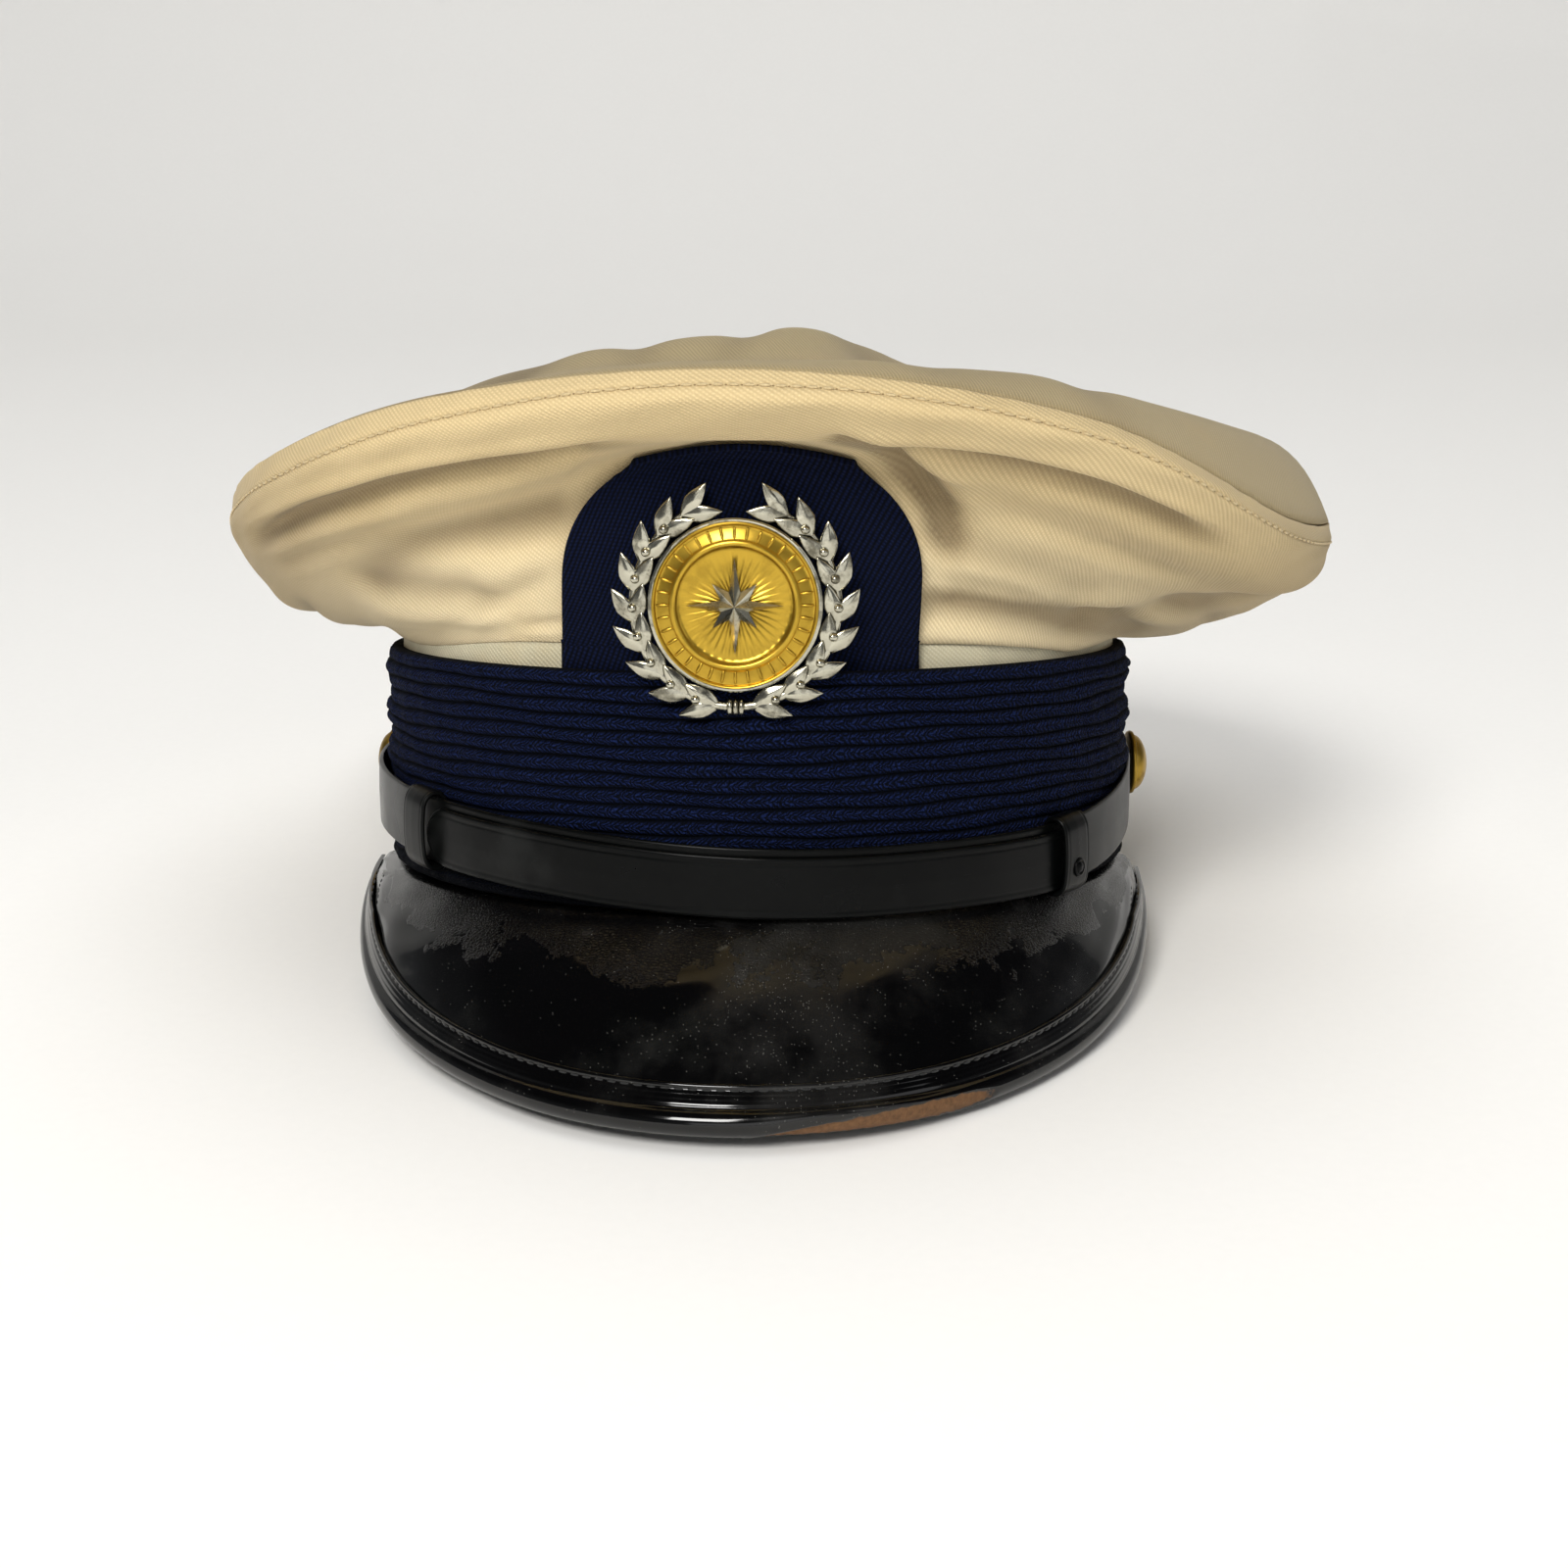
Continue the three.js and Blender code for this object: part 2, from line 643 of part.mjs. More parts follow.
// A pointed leaf that leaves the stem to one side of it, outwards or inwards.
function wreathLeaf(angle, side) {
  const blade = new THREE.OctahedronGeometry(1, 0);
  blade.scale(leaf.length, leaf.width, leaf.thick);
  blade.translate(leaf.length * 0.75, 0, 0);
  blade.rotateZ(Math.PI / 2 - side * radians(wreath.spread) + angle);
  const foot = stemPoint(angle);
  return blade.translate(foot.x, foot.y, foot.z + leaf.lift);
}

// Two branches of leaves round the disc, tied at the foot and open at the top, all one casting.
function badgeWreath() {
  const branch = [wreathStem()];
  for (const angle of steps(wreath.leaves - 1, radians(wreath.from), radians(wreath.to))) {
    branch.push(wreathLeaf(angle, 1), wreathLeaf(angle, -1));
  }
  const otherBranch = branch.map((geometry) => geometry.clone().scale(-1, 1, 1));
  const tie = new THREE.CylinderGeometry(2.4, 2.8, 2.4, 10).rotateX(Math.PI / 2);
  tie.translate(0, -wreath.radius, wreath.middle);
  const pieces = [tie, ...branch, ...otherBranch].map(manifoldOf);
  const casting = pieces.reduce((whole, piece) => whole.add(piece));
  const room = turned([[disc.radius + gap, -5], [disc.radius + gap, 8], [0, 8]], 24);
  return bent(geometryOf(casting.subtract(manifoldOf(room))));
}

function finish(color, roughness, metalness = 0) {
  return new THREE.MeshStandardMaterial({ color, roughness, metalness });
}

const finishes = {
  twill: finish(0xd9c59b, 0.9),
  hemTwill: finish(0xe6dcc0, 0.9),
  navyTwill: finish(0x141d3c, 0.85),
  braid: finish(0x161f42, 0.95),
  patent: finish(0x0a0a0b, 0.12),
  leather: finish(0x101111, 0.35),
  gilt: finish(0xc9a03a, 0.3, 1),
  silver: finish(0xb9b6ac, 0.3, 1),
};

const cap = new THREE.Group();
function add(name, geometry, material, parent = cap) {
  const mesh = new THREE.Mesh(geometry, material);
  mesh.name = name;
  parent.add(mesh);
  return mesh;
}

add("crown_side", crownSide(), finishes.twill);
add("crown_top", crownTop(), finishes.twill);
add("crown_hem", crownHem(), finishes.hemTwill);
add("band", ribbedBand(), finishes.braid);
add("badge_tab", badgeTab(), finishes.navyTwill);
add("peak", peakSheet(), finishes.patent);
add("peak_binding", peakBinding(), finishes.patent);
add("chin_strap", chinStrap(), finishes.leather);

for (const [side, turn] of [["left", -1], ["right", 1]]) {
  add("keeper_" + side, strapKeeper(strapShare(turn * keeper.angle)), finishes.leather);
  const { middle, out } = strapFrame(strapShare(turn * button.angle));
  const place = middle.clone().addScaledVector(out, strap.thickness / 2 + gap);
  aimed(add("button_" + side, domedButton(), finishes.gilt), place, out);
}

const rivetSeat = strapFrame(strapShare(keeper.angle));
const rivetPlace = rivetSeat.middle.clone().addScaledVector(rivetSeat.up, -rivet.below);
rivetPlace.addScaledVector(rivetSeat.out, strap.thickness / 2 + keeper.slack + keeper.wall + gap);
aimed(add("keeper_rivet", domedRivet(), finishes.leather), rivetPlace, rivetSeat.out);

const badgeGroup = new THREE.Group();
badgeGroup.position.set(0, badge.y, badge.z);
badgeGroup.rotation.x = Math.PI / 2 + radians(badge.lean);
cap.add(badgeGroup);
add("badge_disc", badgeDisc(), finishes.gilt, badgeGroup);
add("badge_star", badgeStar(), finishes.silver, badgeGroup);
add("badge_wreath", badgeWreath(), finishes.silver, badgeGroup);

// The lean at rest: the steepest line from the back of the band's lower rim to the peak's edge.
const back = new THREE.Vector2(head.halfLength + band.backing, 0);
const lean = Math.max(
  ...peakAngles.map((angle) => {
    const { edge } = peakEdge(angle);
    const run = Math.hypot(back.x - edge.y, edge.z);
    return Math.atan2(-edge.z, back.x - edge.y) + Math.asin(binding.noseRadius / run);
  }),
);
cap.rotation.x = -lean;

// The origin is on the surface the cap rests on, under the middle of its bounding box.
const part = new THREE.Group();
part.add(cap);
const box = new THREE.Box3().setFromObject(part, true);
cap.position.set(-(box.min.x + box.max.x) / 2, -(box.min.y + box.max.y) / 2, -box.min.z);

export default part;
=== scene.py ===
import json
import math
from functools import partial

import bmesh
import bpy
import numpy as np
from mathutils import Matrix, Vector


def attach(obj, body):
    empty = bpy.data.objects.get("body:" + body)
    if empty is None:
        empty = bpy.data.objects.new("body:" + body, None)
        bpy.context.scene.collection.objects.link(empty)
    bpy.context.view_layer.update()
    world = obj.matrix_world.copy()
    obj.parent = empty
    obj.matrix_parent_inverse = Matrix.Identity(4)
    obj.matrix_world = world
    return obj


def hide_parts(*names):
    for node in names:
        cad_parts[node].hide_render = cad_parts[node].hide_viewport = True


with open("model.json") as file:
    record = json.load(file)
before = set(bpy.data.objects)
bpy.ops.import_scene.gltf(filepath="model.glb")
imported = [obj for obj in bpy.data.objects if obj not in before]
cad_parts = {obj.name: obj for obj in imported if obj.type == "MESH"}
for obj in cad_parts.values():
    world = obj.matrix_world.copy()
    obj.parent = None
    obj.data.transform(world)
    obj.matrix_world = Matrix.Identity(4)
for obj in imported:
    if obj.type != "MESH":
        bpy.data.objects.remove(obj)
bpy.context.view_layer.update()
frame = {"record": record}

# Everything is laid out in millimetres in the cap's own frame: the front along -Y, the band's lower rim
# at z = 0, the middle of the head opening at the origin. One matrix then leans the cap back to its rest.
mm = 0.001
rimMount = next(mount for mount in frame["record"]["mounts"] if mount["name"] == "rim")
rimPlace = Vector((4, 98.4, 0))  # where that mount lies on the band's lower rim
lean = math.atan2(-rimMount["axis"][1], -rimMount["axis"][2])
capTurn = Matrix.Rotation(-lean, 4, "X")
capToRow = Matrix.Translation(rimMount["pos_m"]) @ capTurn @ Matrix.Scale(mm, 4)
capToRow = capToRow @ Matrix.Translation(-rimPlace)


# Helpers for shapes

def smooth(x, start=0.0, end=1.0):
    share = np.clip((x - start) / (end - start), 0, 1)
    return share * share * (3 - 2 * share)


def hump(x, middle, spread):
    return np.exp(-(((x - middle) / spread) ** 2))


def catmull(a, b, c, d, f):
    return b + 0.5 * f * (c - a + f * (2 * a - 5 * b + 4 * c - d + f * (3 * (b - c) + d - a)))


def unit(vectors):
    return vectors / np.linalg.norm(vectors, axis=-1, keepdims=True)


def points(x, y, z):
    return np.stack(np.broadcast_arrays(x, y, z), -1).astype(float)


# A smooth curve through a table's values, read at any place.
def throughTable(x, places, values):
    places = np.asarray(places, float)
    values = np.asarray(values, float)
    slope = np.gradient(values, places)
    i = np.clip(np.searchsorted(places, x) - 1, 0, len(places) - 2)
    step = places[i + 1] - places[i]
    f = (x - places[i]) / step
    start = (2 * f**3 - 3 * f**2 + 1) * values[i] + (f**3 - 2 * f**2 + f) * step * slope[i]
    end = (3 * f**2 - 2 * f**3) * values[i + 1] + (f**3 - f**2) * step * slope[i + 1]
    return start + end


# The outward direction of a surface that is given by two numbers.
def outward(surface, a, b, step=0.006):
    across = surface(a + step, b) - surface(a - step, b)
    along = surface(a, b + step) - surface(a, b - step)
    return unit(np.cross(across, along))


# A grid of faces, laid by a function of its two shares. Its cloth map holds millimetres of material, and its
# hollows, where given, say how much shade is painted into the colour at each point. It is closed on itself
# where told to be.
def layGrid(across, along, place, clothMap, closeAcross=False, closeAlong=False, caps=False, hollows=None):
    bm = bmesh.new()
    layer = bm.loops.layers.uv.new("cloth")
    bmesh.ops.create_grid(bm, x_segments=across, y_segments=along, size=0.5, calc_uvs=True)
    shares = np.array([vertex.co[:2] for vertex in bm.verts]) + 0.5
    if hollows:
        shadeLayer = bm.verts.layers.float.new("paintedShadeShare")
        for vertex, depth in zip(bm.verts, hollows(shares[:, 0], shares[:, 1])):
            vertex[shadeLayer] = depth
    for vertex, point in zip(bm.verts, place(shares[:, 0], shares[:, 1])):
        vertex.co = point
    corners = [loop[layer] for face in bm.faces for loop in face.loops]
    shares = np.array([corner.uv[:] for corner in corners])
    for corner, spot in zip(corners, np.stack(clothMap(shares[:, 0], shares[:, 1]), -1)):
        corner.uv = spot
    if closeAcross or closeAlong:
        bmesh.ops.remove_doubles(bm, verts=bm.verts, dist=0.002)
    if caps:
        bmesh.ops.holes_fill(bm, edges=[edge for edge in bm.edges if edge.is_boundary], sides=0)
    if closeAlong or caps:
        bmesh.ops.recalc_face_normals(bm, faces=bm.faces)
    return bm


# How far along a line each of its points lies.
def walkedAlong(line):
    return np.concatenate([[0], np.cumsum(np.linalg.norm(np.diff(line, axis=0), axis=1))])


# The walk round a closed section: its corners, each with how far along the walk it lies.
class Section:
    def __init__(self, corners):
        self.ring = np.array([*corners, corners[0]], float)
        self.lengths = walkedAlong(self.ring)

    def at(self, share):
        walked = share * self.lengths[-1]
        return [np.interp(walked, self.lengths, column) for column in self.ring.T]


def addObject(name, data):
    added = bpy.data.objects.new(name, data)
    bpy.context.scene.collection.objects.link(added)
    return added


def smoothMesh(name, bm, material):
    mesh = bpy.data.meshes.new(name)
    bm.to_mesh(mesh)
    bm.free()
    mesh.shade_smooth()
    mesh.materials.append(material)
    return mesh


# Puts a shape in the scene, leaned to its rest, with its material, its slot and the nodes it stands for.
def finishPiece(name, bm, material, nodes=(), wall=0.0, sharpOver=45):
    bmesh.ops.transform(bm, matrix=capToRow, verts=bm.verts)
    piece = addObject(name, smoothMesh(name, bm, material))
    piece.data.set_sharp_from_angle(angle=math.radians(sharpOver))
    if wall:
        solidify = piece.modifiers.new("wall", "SOLIDIFY")
        solidify.thickness = wall * mm
        solidify.offset = -1
    if nodes:
        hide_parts(*nodes)
    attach(piece, "root")
    return piece


# Copies one shape to many places, each a matrix in the cap's frame, into a new mesh or one that is there.
def scatter(shape, places, into=None):
    bm = into or bmesh.new()
    mesh = bpy.data.meshes.new("shape")
    shape.to_mesh(mesh)
    shape.free()
    for place in places:
        before = len(bm.verts)
        bm.from_mesh(mesh)
        bm.verts.ensure_lookup_table()
        bmesh.ops.transform(bm, matrix=place, verts=bm.verts[before:])
    bpy.data.meshes.remove(mesh)
    return bm


# A matrix whose X runs along one direction and whose Z is as near as it gets to another.
def placed(origin, along, up):
    x = Vector(along).normalized()
    y = Vector(up).cross(x).normalized()
    return Matrix.Translation(origin) @ Matrix((x, y, x.cross(y))).transposed().to_4x4()


# Helpers for materials

def colour(hexCode):
    channels = [int(hexCode[i : i + 2], 16) / 255 for i in (1, 3, 5)]
    linear = [c / 12.92 if c <= 0.04045 else ((c + 0.055) / 1.055) ** 2.4 for c in channels]
    return (*linear, 1)


# Adds a node and gives one of its outputs. Inputs come in the node's order, or by their capital names, and
# settings by their small names. A hex code stands for its colour.
def addNode(tree, kind, *inputs, out=None, **named):
    node = tree.nodes.new("ShaderNode" + kind)
    for key in [key for key in named if key[0].islower()]:
        setattr(node, key, named.pop(key))
    sockets = [*zip((socket for socket in node.inputs if socket.enabled), inputs)]
    sockets += [(node.inputs[key.replace("_", " ")], value) for key, value in named.items()]
    for socket, value in sockets:
        if isinstance(value, bpy.types.NodeSocket):
            tree.links.new(value, socket)
        else:
            socket.default_value = colour(value) if isinstance(value, str) else value
    return node.outputs[out] if out else next(socket for socket in node.outputs if socket.enabled)


# Settings that many nodes share.
colours = {"data_type": "RGBA"}
eased = {"interpolation_type": "SMOOTHSTEP"}
plus = {"operation": "ADD"}
minus = {"operation": "SUBTRACT"}
times = {"operation": "MULTIPLY"}
timesPlus = {"operation": "MULTIPLY_ADD"}


def newMaterial(name, **values):
    material = bpy.data.materials.new(name)
    material.use_nodes = True
    for socket, value in values.items():
        material.node_tree.nodes["Principled BSDF"].inputs[socket.replace("_", " ")].default_value = value
    return material, partial(addNode, material.node_tree)


# Joins what a material's nodes give to its shader. The relief's depth is in millimetres.
def joinShader(material, sources, relief=None, strength=1.0, depth=0.0):
    tree = material.node_tree
    if relief:
        bump = addNode(tree, "Bump", Height=relief, Strength=strength, Distance=depth * mm)
        sources = {**sources, "Normal": bump}
    for socket, source in sources.items():
        tree.links.new(source, tree.nodes["Principled BSDF"].inputs[socket])
    return material


# A sine wave of Wave Texture has this many turns in a unit at scale 1.
waveTurns = 20 / (2 * math.pi)


# The diagonal ribs of a twill, from 0 in the valleys to 1 on the ribs, with the cross threads that step them.
def twillRelief(add, pitch, slant, wobble):
    cloth = add("UVMap", uv_map="cloth")
    turned = add("Mapping", cloth, Rotation=(0, 0, math.radians(slant)))
    wave = {"Distortion": wobble, "Detail": 1.5, "Detail_Scale": 0.7, "out": "Fac"}
    ribs = add("TexWave", turned, 1 / (pitch * waveTurns), bands_direction="X", **wave)
    threads = add("TexWave", turned, 1 / (0.8 * pitch * waveTurns), bands_direction="Y", **wave)
    return cloth, add("Mix", 0.6, ribs, add("Math", ribs, threads, **times))


coverTwill = {
    "pitch": 0.8,  # a 0.5 mm twill, drawn coarser so that its ribs still show in a picture of the whole cap
    "slant": -52,
    "topSlant": 160,
    "lip": "#ecd4a0",
    "top": "#cdb98a",
    "belly": "#efddb4",
    "aged": "#d8bd86",
    # painted shade in the weave's valleys
    "valley": "#a08a5e",
    # painted shade in the creases, under the lip, along the seams and at the sides
    "paintedShade": "#7f6a45",
    "stain": "#a98a5c",
    "fibre": "#fff6dc",
    "hem": "#cfcab0",
}


# Cotton twill, woven and then yellowed: matt, with fine diagonal ribs and faint age stains, and with shade
# painted into its weave's valleys, its creases and along its seams. The slant and the tones at its lower and
# upper edges are named as in the dictionary.
def makeCoverTwill(name, slant, low, high):
    material, add = newMaterial(name, Roughness=0.92, IOR=1.46, Sheen_Weight=0.12, Sheen_Roughness=0.5)
    cloth, relief = twillRelief(add, coverTwill["pitch"], coverTwill[slant], 0.4)
    height = add("SeparateXYZ", cloth, out="Y")
    fibres = add("TexNoise", cloth, 3.2, 2)
    paintedShadeShare = add("Attribute", attribute_name="paintedShadeShare", out="Fac")
    shares = {
        "aged": add("MapRange", add("TexNoise", cloth, 0.035, 3), 0.5, 0.75, 0, 0.35, **eased),
        "stain": add("MapRange", add("TexNoise", cloth, 0.12, 4, 0.7), 0.68, 0.8, 0, 0.45, **eased),
        # Painted shade in the creases, under the lip, along the seams and at the sides, from the piece's
        # attribute.
        "paintedShade": add("Math", paintedShadeShare, 0.8, **times),
        # Painted shade in the weave's valleys, where its relief is low.
        "valley": add("Math", relief, -0.4, 0.4, **timesPlus),
        "fibre": add("Math", fibres, 0.12, **times),
    }
    raised = add("MapRange", height, 8, 45, **eased)
    base = add("Mix", raised, coverTwill[low], coverTwill[high], **colours)
    for tone, share in shares.items():
        blend = "MULTIPLY" if tone == "valley" else "MIX"
        base = add("Mix", share, base, coverTwill[tone], blend_type=blend, **colours)
    fuzzy = add("Math", fibres, 0.5, relief, **timesPlus)
    return joinShader(material, {"Base Color": base}, fuzzy, 0.7, 0.18)


# The grooves' tone is painted shade.
navyCloth = {"grooveShade": "#03050c", "thread": "#101a3c", "pitch": 1.0, "slant": 21}


# Wool twill, woven: dark, matt, with steep ribs painted lighter as a painted highlight and grooves painted
# near black as painted shade.
def makeNavyTwill():
    material, add = newMaterial("navyWoolTwill", Roughness=0.95, Specular_IOR_Level=0.1)
    cloth, relief = twillRelief(add, navyCloth["pitch"], navyCloth["slant"], 0.5)
    hairy = add("Math", add("TexNoise", cloth, 2.5, 3), 0.8, 0.4, **timesPlus)
    # Painted highlight on the ribs and painted shade in the grooves, with a random hairy tone.
    lit = add("Math", relief, hairy, **times)
    base = add("Mix", lit, navyCloth["grooveShade"], navyCloth["thread"], **colours)
    return joinShader(material, {"Base Color": base}, relief, 0.8, 0.2)


# The grooves' tone is painted shade.
braidCloth = {"grooveShade": "#03050b", "thread": "#1a2855", "stitch": 1.45, "slope": 0.8, "wobble": 4.2}


# Mohair braid, knitted: each rib is a row of chevrons, hairy on top, with a painted highlight on its crest
# and painted shade, near black, in the grooves.
def makeBraid(ribs, height):
    material, add = newMaterial("mohairBraid", Roughness=0.95, Specular_IOR_Level=0.08)
    cloth = add("UVMap", uv_map="cloth")
    x, y = (add("SeparateXYZ", cloth, out=axis) for axis in "XY")
    rib = add("Math", add("Math", y, ribs / height, **times), operation="FRACT")
    offMiddle = add("Math", add("Math", rib, 0.5, **minus), operation="ABSOLUTE")
    slanted = add("Math", offMiddle, -2 * braidCloth["slope"] * height / ribs, x, **timesPlus)
    along = add("Math", add("TexNoise", cloth, 0.5, 4), braidCloth["wobble"], slanted, **timesPlus)
    wave = add("Math", add("Math", along, 2 * math.pi / braidCloth["stitch"], **times), operation="SINE")
    stitch = add("Math", wave, 0.5, 0.5, **timesPlus)
    crest = add("MapRange", offMiddle, 0.5, 0.18, **eased)
    groove = add("MapRange", offMiddle, 0, 0.09, 0.6, 1.6, **eased)
    relief = add("Math", add("Math", stitch, crest, **times), groove, **times)
    fuzz = add("MapRange", add("TexNoise", cloth, 2.2, 4, 0.7), 0.4, 0.7, 0.15, 1.25, **eased)
    # Random fuzz, and darker towards the bottom rows.
    worn = add("Math", fuzz, add("MapRange", y, 1, 7, **eased), **times)
    # Painted highlight on the crests and painted shade in the grooves.
    lit = add("Math", relief, worn, use_clamp=True, **times)
    base = add("Mix", lit, braidCloth["grooveShade"], braidCloth["thread"], **colours)
    return joinShader(material, {"Base Color": base}, relief, 0.9, 0.35)


patent = {"black": "#030303", "dust": "#b9b7b0", "speck": 0.5, "cell": 0.8, "crazedTo": 13.0, "ragged": 90.0}
bareHide = {"dark": "#3a2414", "light": "#8a6440"}


# Patent leather, lacquered: a black mirror with dust specks and hazy patches. The sheet is crazed beside the
# strap, and the edge is torn down to the raw hide.
def makePatent(name, torn):
    material, add = newMaterial(name, IOR=1.5)
    cloth, spot = add("UVMap", uv_map="cloth"), add("TexCoord", out="Object")
    x, y = (add("SeparateXYZ", cloth, out=axis) for axis in "XY")
    haze = add("MapRange", add("TexNoise", spot, 28, 5, 0.62), 0.48, 0.68, **eased)
    cell = add("TexVoronoi", spot, 1 / (patent["speck"] * mm))
    chance = add("SeparateColor", cell.node.outputs["Color"])
    kept = add("Math", chance, add("Math", haze, 0.45, 0.04, **timesPlus), operation="LESS_THAN")
    speck = add("Math", add("Math", cell, 0.14, operation="LESS_THAN"), kept, **times)
    dusty = add("Mix", add("Math", speck, 0.5, **times), patent["black"], patent["dust"], **colours)
    base = add("Mix", add("Math", haze, 0.02, **times), dusty, patent["dust"], **colours)
    rough = add("Math", haze, 0.16, 0.09, **timesPlus)
    relief = add("Math", add("TexNoise", spot, 160, 2), 0.3, **times)
    if torn:
        u = add("Math", add("Math", x, tear["middle"], **minus), 1 / tear["halfLength"], **times)
        level = add("Math", x, tear["rise"], y, **timesPlus)
        atMiddle = tear["at"] + tear["middle"] * tear["rise"]
        v = add("Math", add("Math", level, atMiddle, **minus), 1 / tear["halfWidth"], **times)
        off = add("Math", u, u, add("Math", v, v, **times), **timesPlus)
        ragged = add("Math", add("TexNoise", cloth, 0.35, 4), 0.6, off, **timesPlus)
        bare = add("MapRange", ragged, 1.3, 1.16, **eased)
        grain = add("TexNoise", spot, 900, 3, 0.7)
        hide = add("Mix", grain, bareHide["dark"], bareHide["light"], **colours)
        base = add("Mix", bare, base, hide, **colours)
        rough = add("Mix", bare, rough, 0.9)
        relief = add("Mix", bare, relief, grain)
    else:
        patches = add("Math", add("TexNoise", cloth, 0.045, 5, 0.65), 0.46, **minus)
        reach = add("Math", patches, patent["ragged"], patent["crazedTo"], **timesPlus)
        crazed = add("MapRange", add("Math", reach, y, **minus), 0, 3, **eased)
        pulled = add("Mapping", cloth, Scale=(0.6, 1, 1), Rotation=(0, 0, 0.5))
        crackle = add("TexVoronoi", pulled, 1 / patent["cell"], 2, feature="DISTANCE_TO_EDGE")
        flakes = add("Math", add("MapRange", crackle, 0, 0.12, **eased), crazed, **times)
        relief = add("Math", flakes, 1.6, relief, **timesPlus)
        rough = add("Math", crazed, 0.12, rough, **timesPlus)
    return joinShader(material, {"Base Color": base, "Roughness": rough}, relief, 0.35, 0.12)


strapHide = {"black": "#050606", "scuff": "#5d5f5e"}


# Strap leather, pressed and waxed: satin black with long fine scratches.
def makeStrapLeather():
    material, add = newMaterial("waxedStrapLeather", Specular_IOR_Level=0.11)
    cloth, spot = add("UVMap", uv_map="cloth"), add("TexCoord", out="Object")
    drawn = add("Mapping", cloth, Scale=(0.12, 1.6, 1), Rotation=(0, 0, 0.35))
    scratch = add("MapRange", add("TexNoise", drawn, 2.2, 6, 0.75), 0.64, 0.74, **eased)
    wear = add("TexNoise", spot, 60, 4)
    rubbed = add("MapRange", wear, 0.55, 0.8, 0, 0.08, **eased)
    share = add("Math", scratch, 0.3, rubbed, **timesPlus)
    base = add("Mix", share, strapHide["black"], strapHide["scuff"], **colours)
    rough = add("Math", wear, 0.3, 0.16, **timesPlus)
    grain = add("Math", add("TexVoronoi", spot, 1400, feature="DISTANCE_TO_EDGE"), 0.3, **times)
    relief = add("Math", grain, scratch, **minus)
    return joinShader(material, {"Base Color": base, "Roughness": rough}, relief, 0.3, 0.08)


# The plated brasses: bright and dull colours, roughness, and how much of the face is tarnished.
metals = {
    "wornGiltBrass": ("#c6a23c", "#5e4614", 0.3, 0.25),
    "dulledGiltBrass": ("#ab8c3c", "#4f3c14", 0.38, 0.5),
    "tarnishedSilverPlate": ("#c2beac", "#3d3724", 0.16, 0.75),
}


# Plated brass, struck and worn: bright on the high places and dulled in the hollows.
def makeMetal(name, bright, dull, roughness, tarnish):
    material, add = newMaterial(name, Metallic=1.0)
    spot = add("TexCoord", out="Object")
    hollows = add("AmbientOcclusion", Distance=1.2 * mm, samples=6, out="AO")
    inHollow = add("MapRange", hollows, 0.75, 0.25, 0, 0.8, **eased)
    patchy = add("MapRange", add("TexNoise", spot, 260, 5, 0.65), 0.45, 0.72, 0, tarnish, **eased)
    share = add("Math", patchy, inHollow, use_clamp=True, **plus)
    base = add("Mix", share, bright, dull, **colours)
    rough = add("Math", share, 0.3, roughness, **timesPlus)
    fine = add("TexNoise", spot, 2200, 2)
    return joinShader(material, {"Base Color": base, "Roughness": rough}, fine, 0.05, 0.03)


threads = {
    "creamCottonThread": ("#eddaab", "#b0966a"),
    # The needle holes' dark is painted shade.
    "paintedHoleShadeThread": ("#a0865a", "#77603a"),
    "waxedBlackThread": ("#2c2d2d", "#0a0a0a"),
}


# Sewing thread, twisted: a soft sheen with the turns of the ply.
def makeThread(name, light, dark):
    material, add = newMaterial(name, Roughness=0.75, IOR=1.5, Sheen_Weight=0.2)
    ply = add("TexNoise", add("TexCoord", out="Object"), 1800, 2)
    return joinShader(material, {"Base Color": add("Mix", ply, dark, light, **colours)})


# The crown: its cross-sections every 30 degrees from the front round by +X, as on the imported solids.
head = {"halfWidth": 82.9, "halfLength": 98.0}
hem = {"seam": 53.0, "frontInset": 3.5, "sideInset": 0.3, "frontAngle": 24, "fade": 14}
rim = {"halfWidth": 126.3, "front": 131.0, "back": 141.0, "shift": 5.1}
crown = {"centreZ": 96.0, "dishPower": 1.6, "rollShare": 0.14, "wall": 1.4}
sectionColumns = ["lowOut", "lowZ", "midOut", "midZ", "lipOut", "lipZ", "rimZ", "seamOut", "seamZ", "roll"]
crownSections = np.array([
    [0.1, 70, 0.27, 92.4, 0.66, 94.2, 100.5, 0.962, 107, 5],
    [0.14, 64, 0.36, 80, 0.74, 87.5, 93, 0.965, 98.5, 10],
    [0.28, 57, 0.58, 64.5, 0.86, 69, 73.5, 0.985, 78, 20],
    [0.42, 51, 0.78, 58.5, 0.95, 64, 70.5, 0.993, 75.5, 19],
    [0.42, 50, 0.78, 53.5, 0.95, 60, 66.5, 0.985, 71.5, 11],
    [0.38, 50, 0.75, 51, 0.94, 57, 64.5, 0.97, 70, 5],
    [0.36, 50, 0.72, 50.5, 0.93, 55.5, 63, 0.97, 70, 5],
    [0.38, 50, 0.75, 51, 0.94, 57, 64.5, 0.97, 71.5, 5],
    [0.42, 50, 0.78, 53, 0.95, 60, 68, 0.97, 75, 5],
    [0.42, 49.5, 0.78, 56.5, 0.95, 65, 70.5, 0.968, 77.5, 5],
    [0.28, 54.5, 0.58, 67.5, 0.86, 77.5, 82.5, 0.965, 89.5, 4],
    [0.14, 64, 0.36, 81, 0.74, 88.5, 95.5, 0.962, 102.5, 3],
])

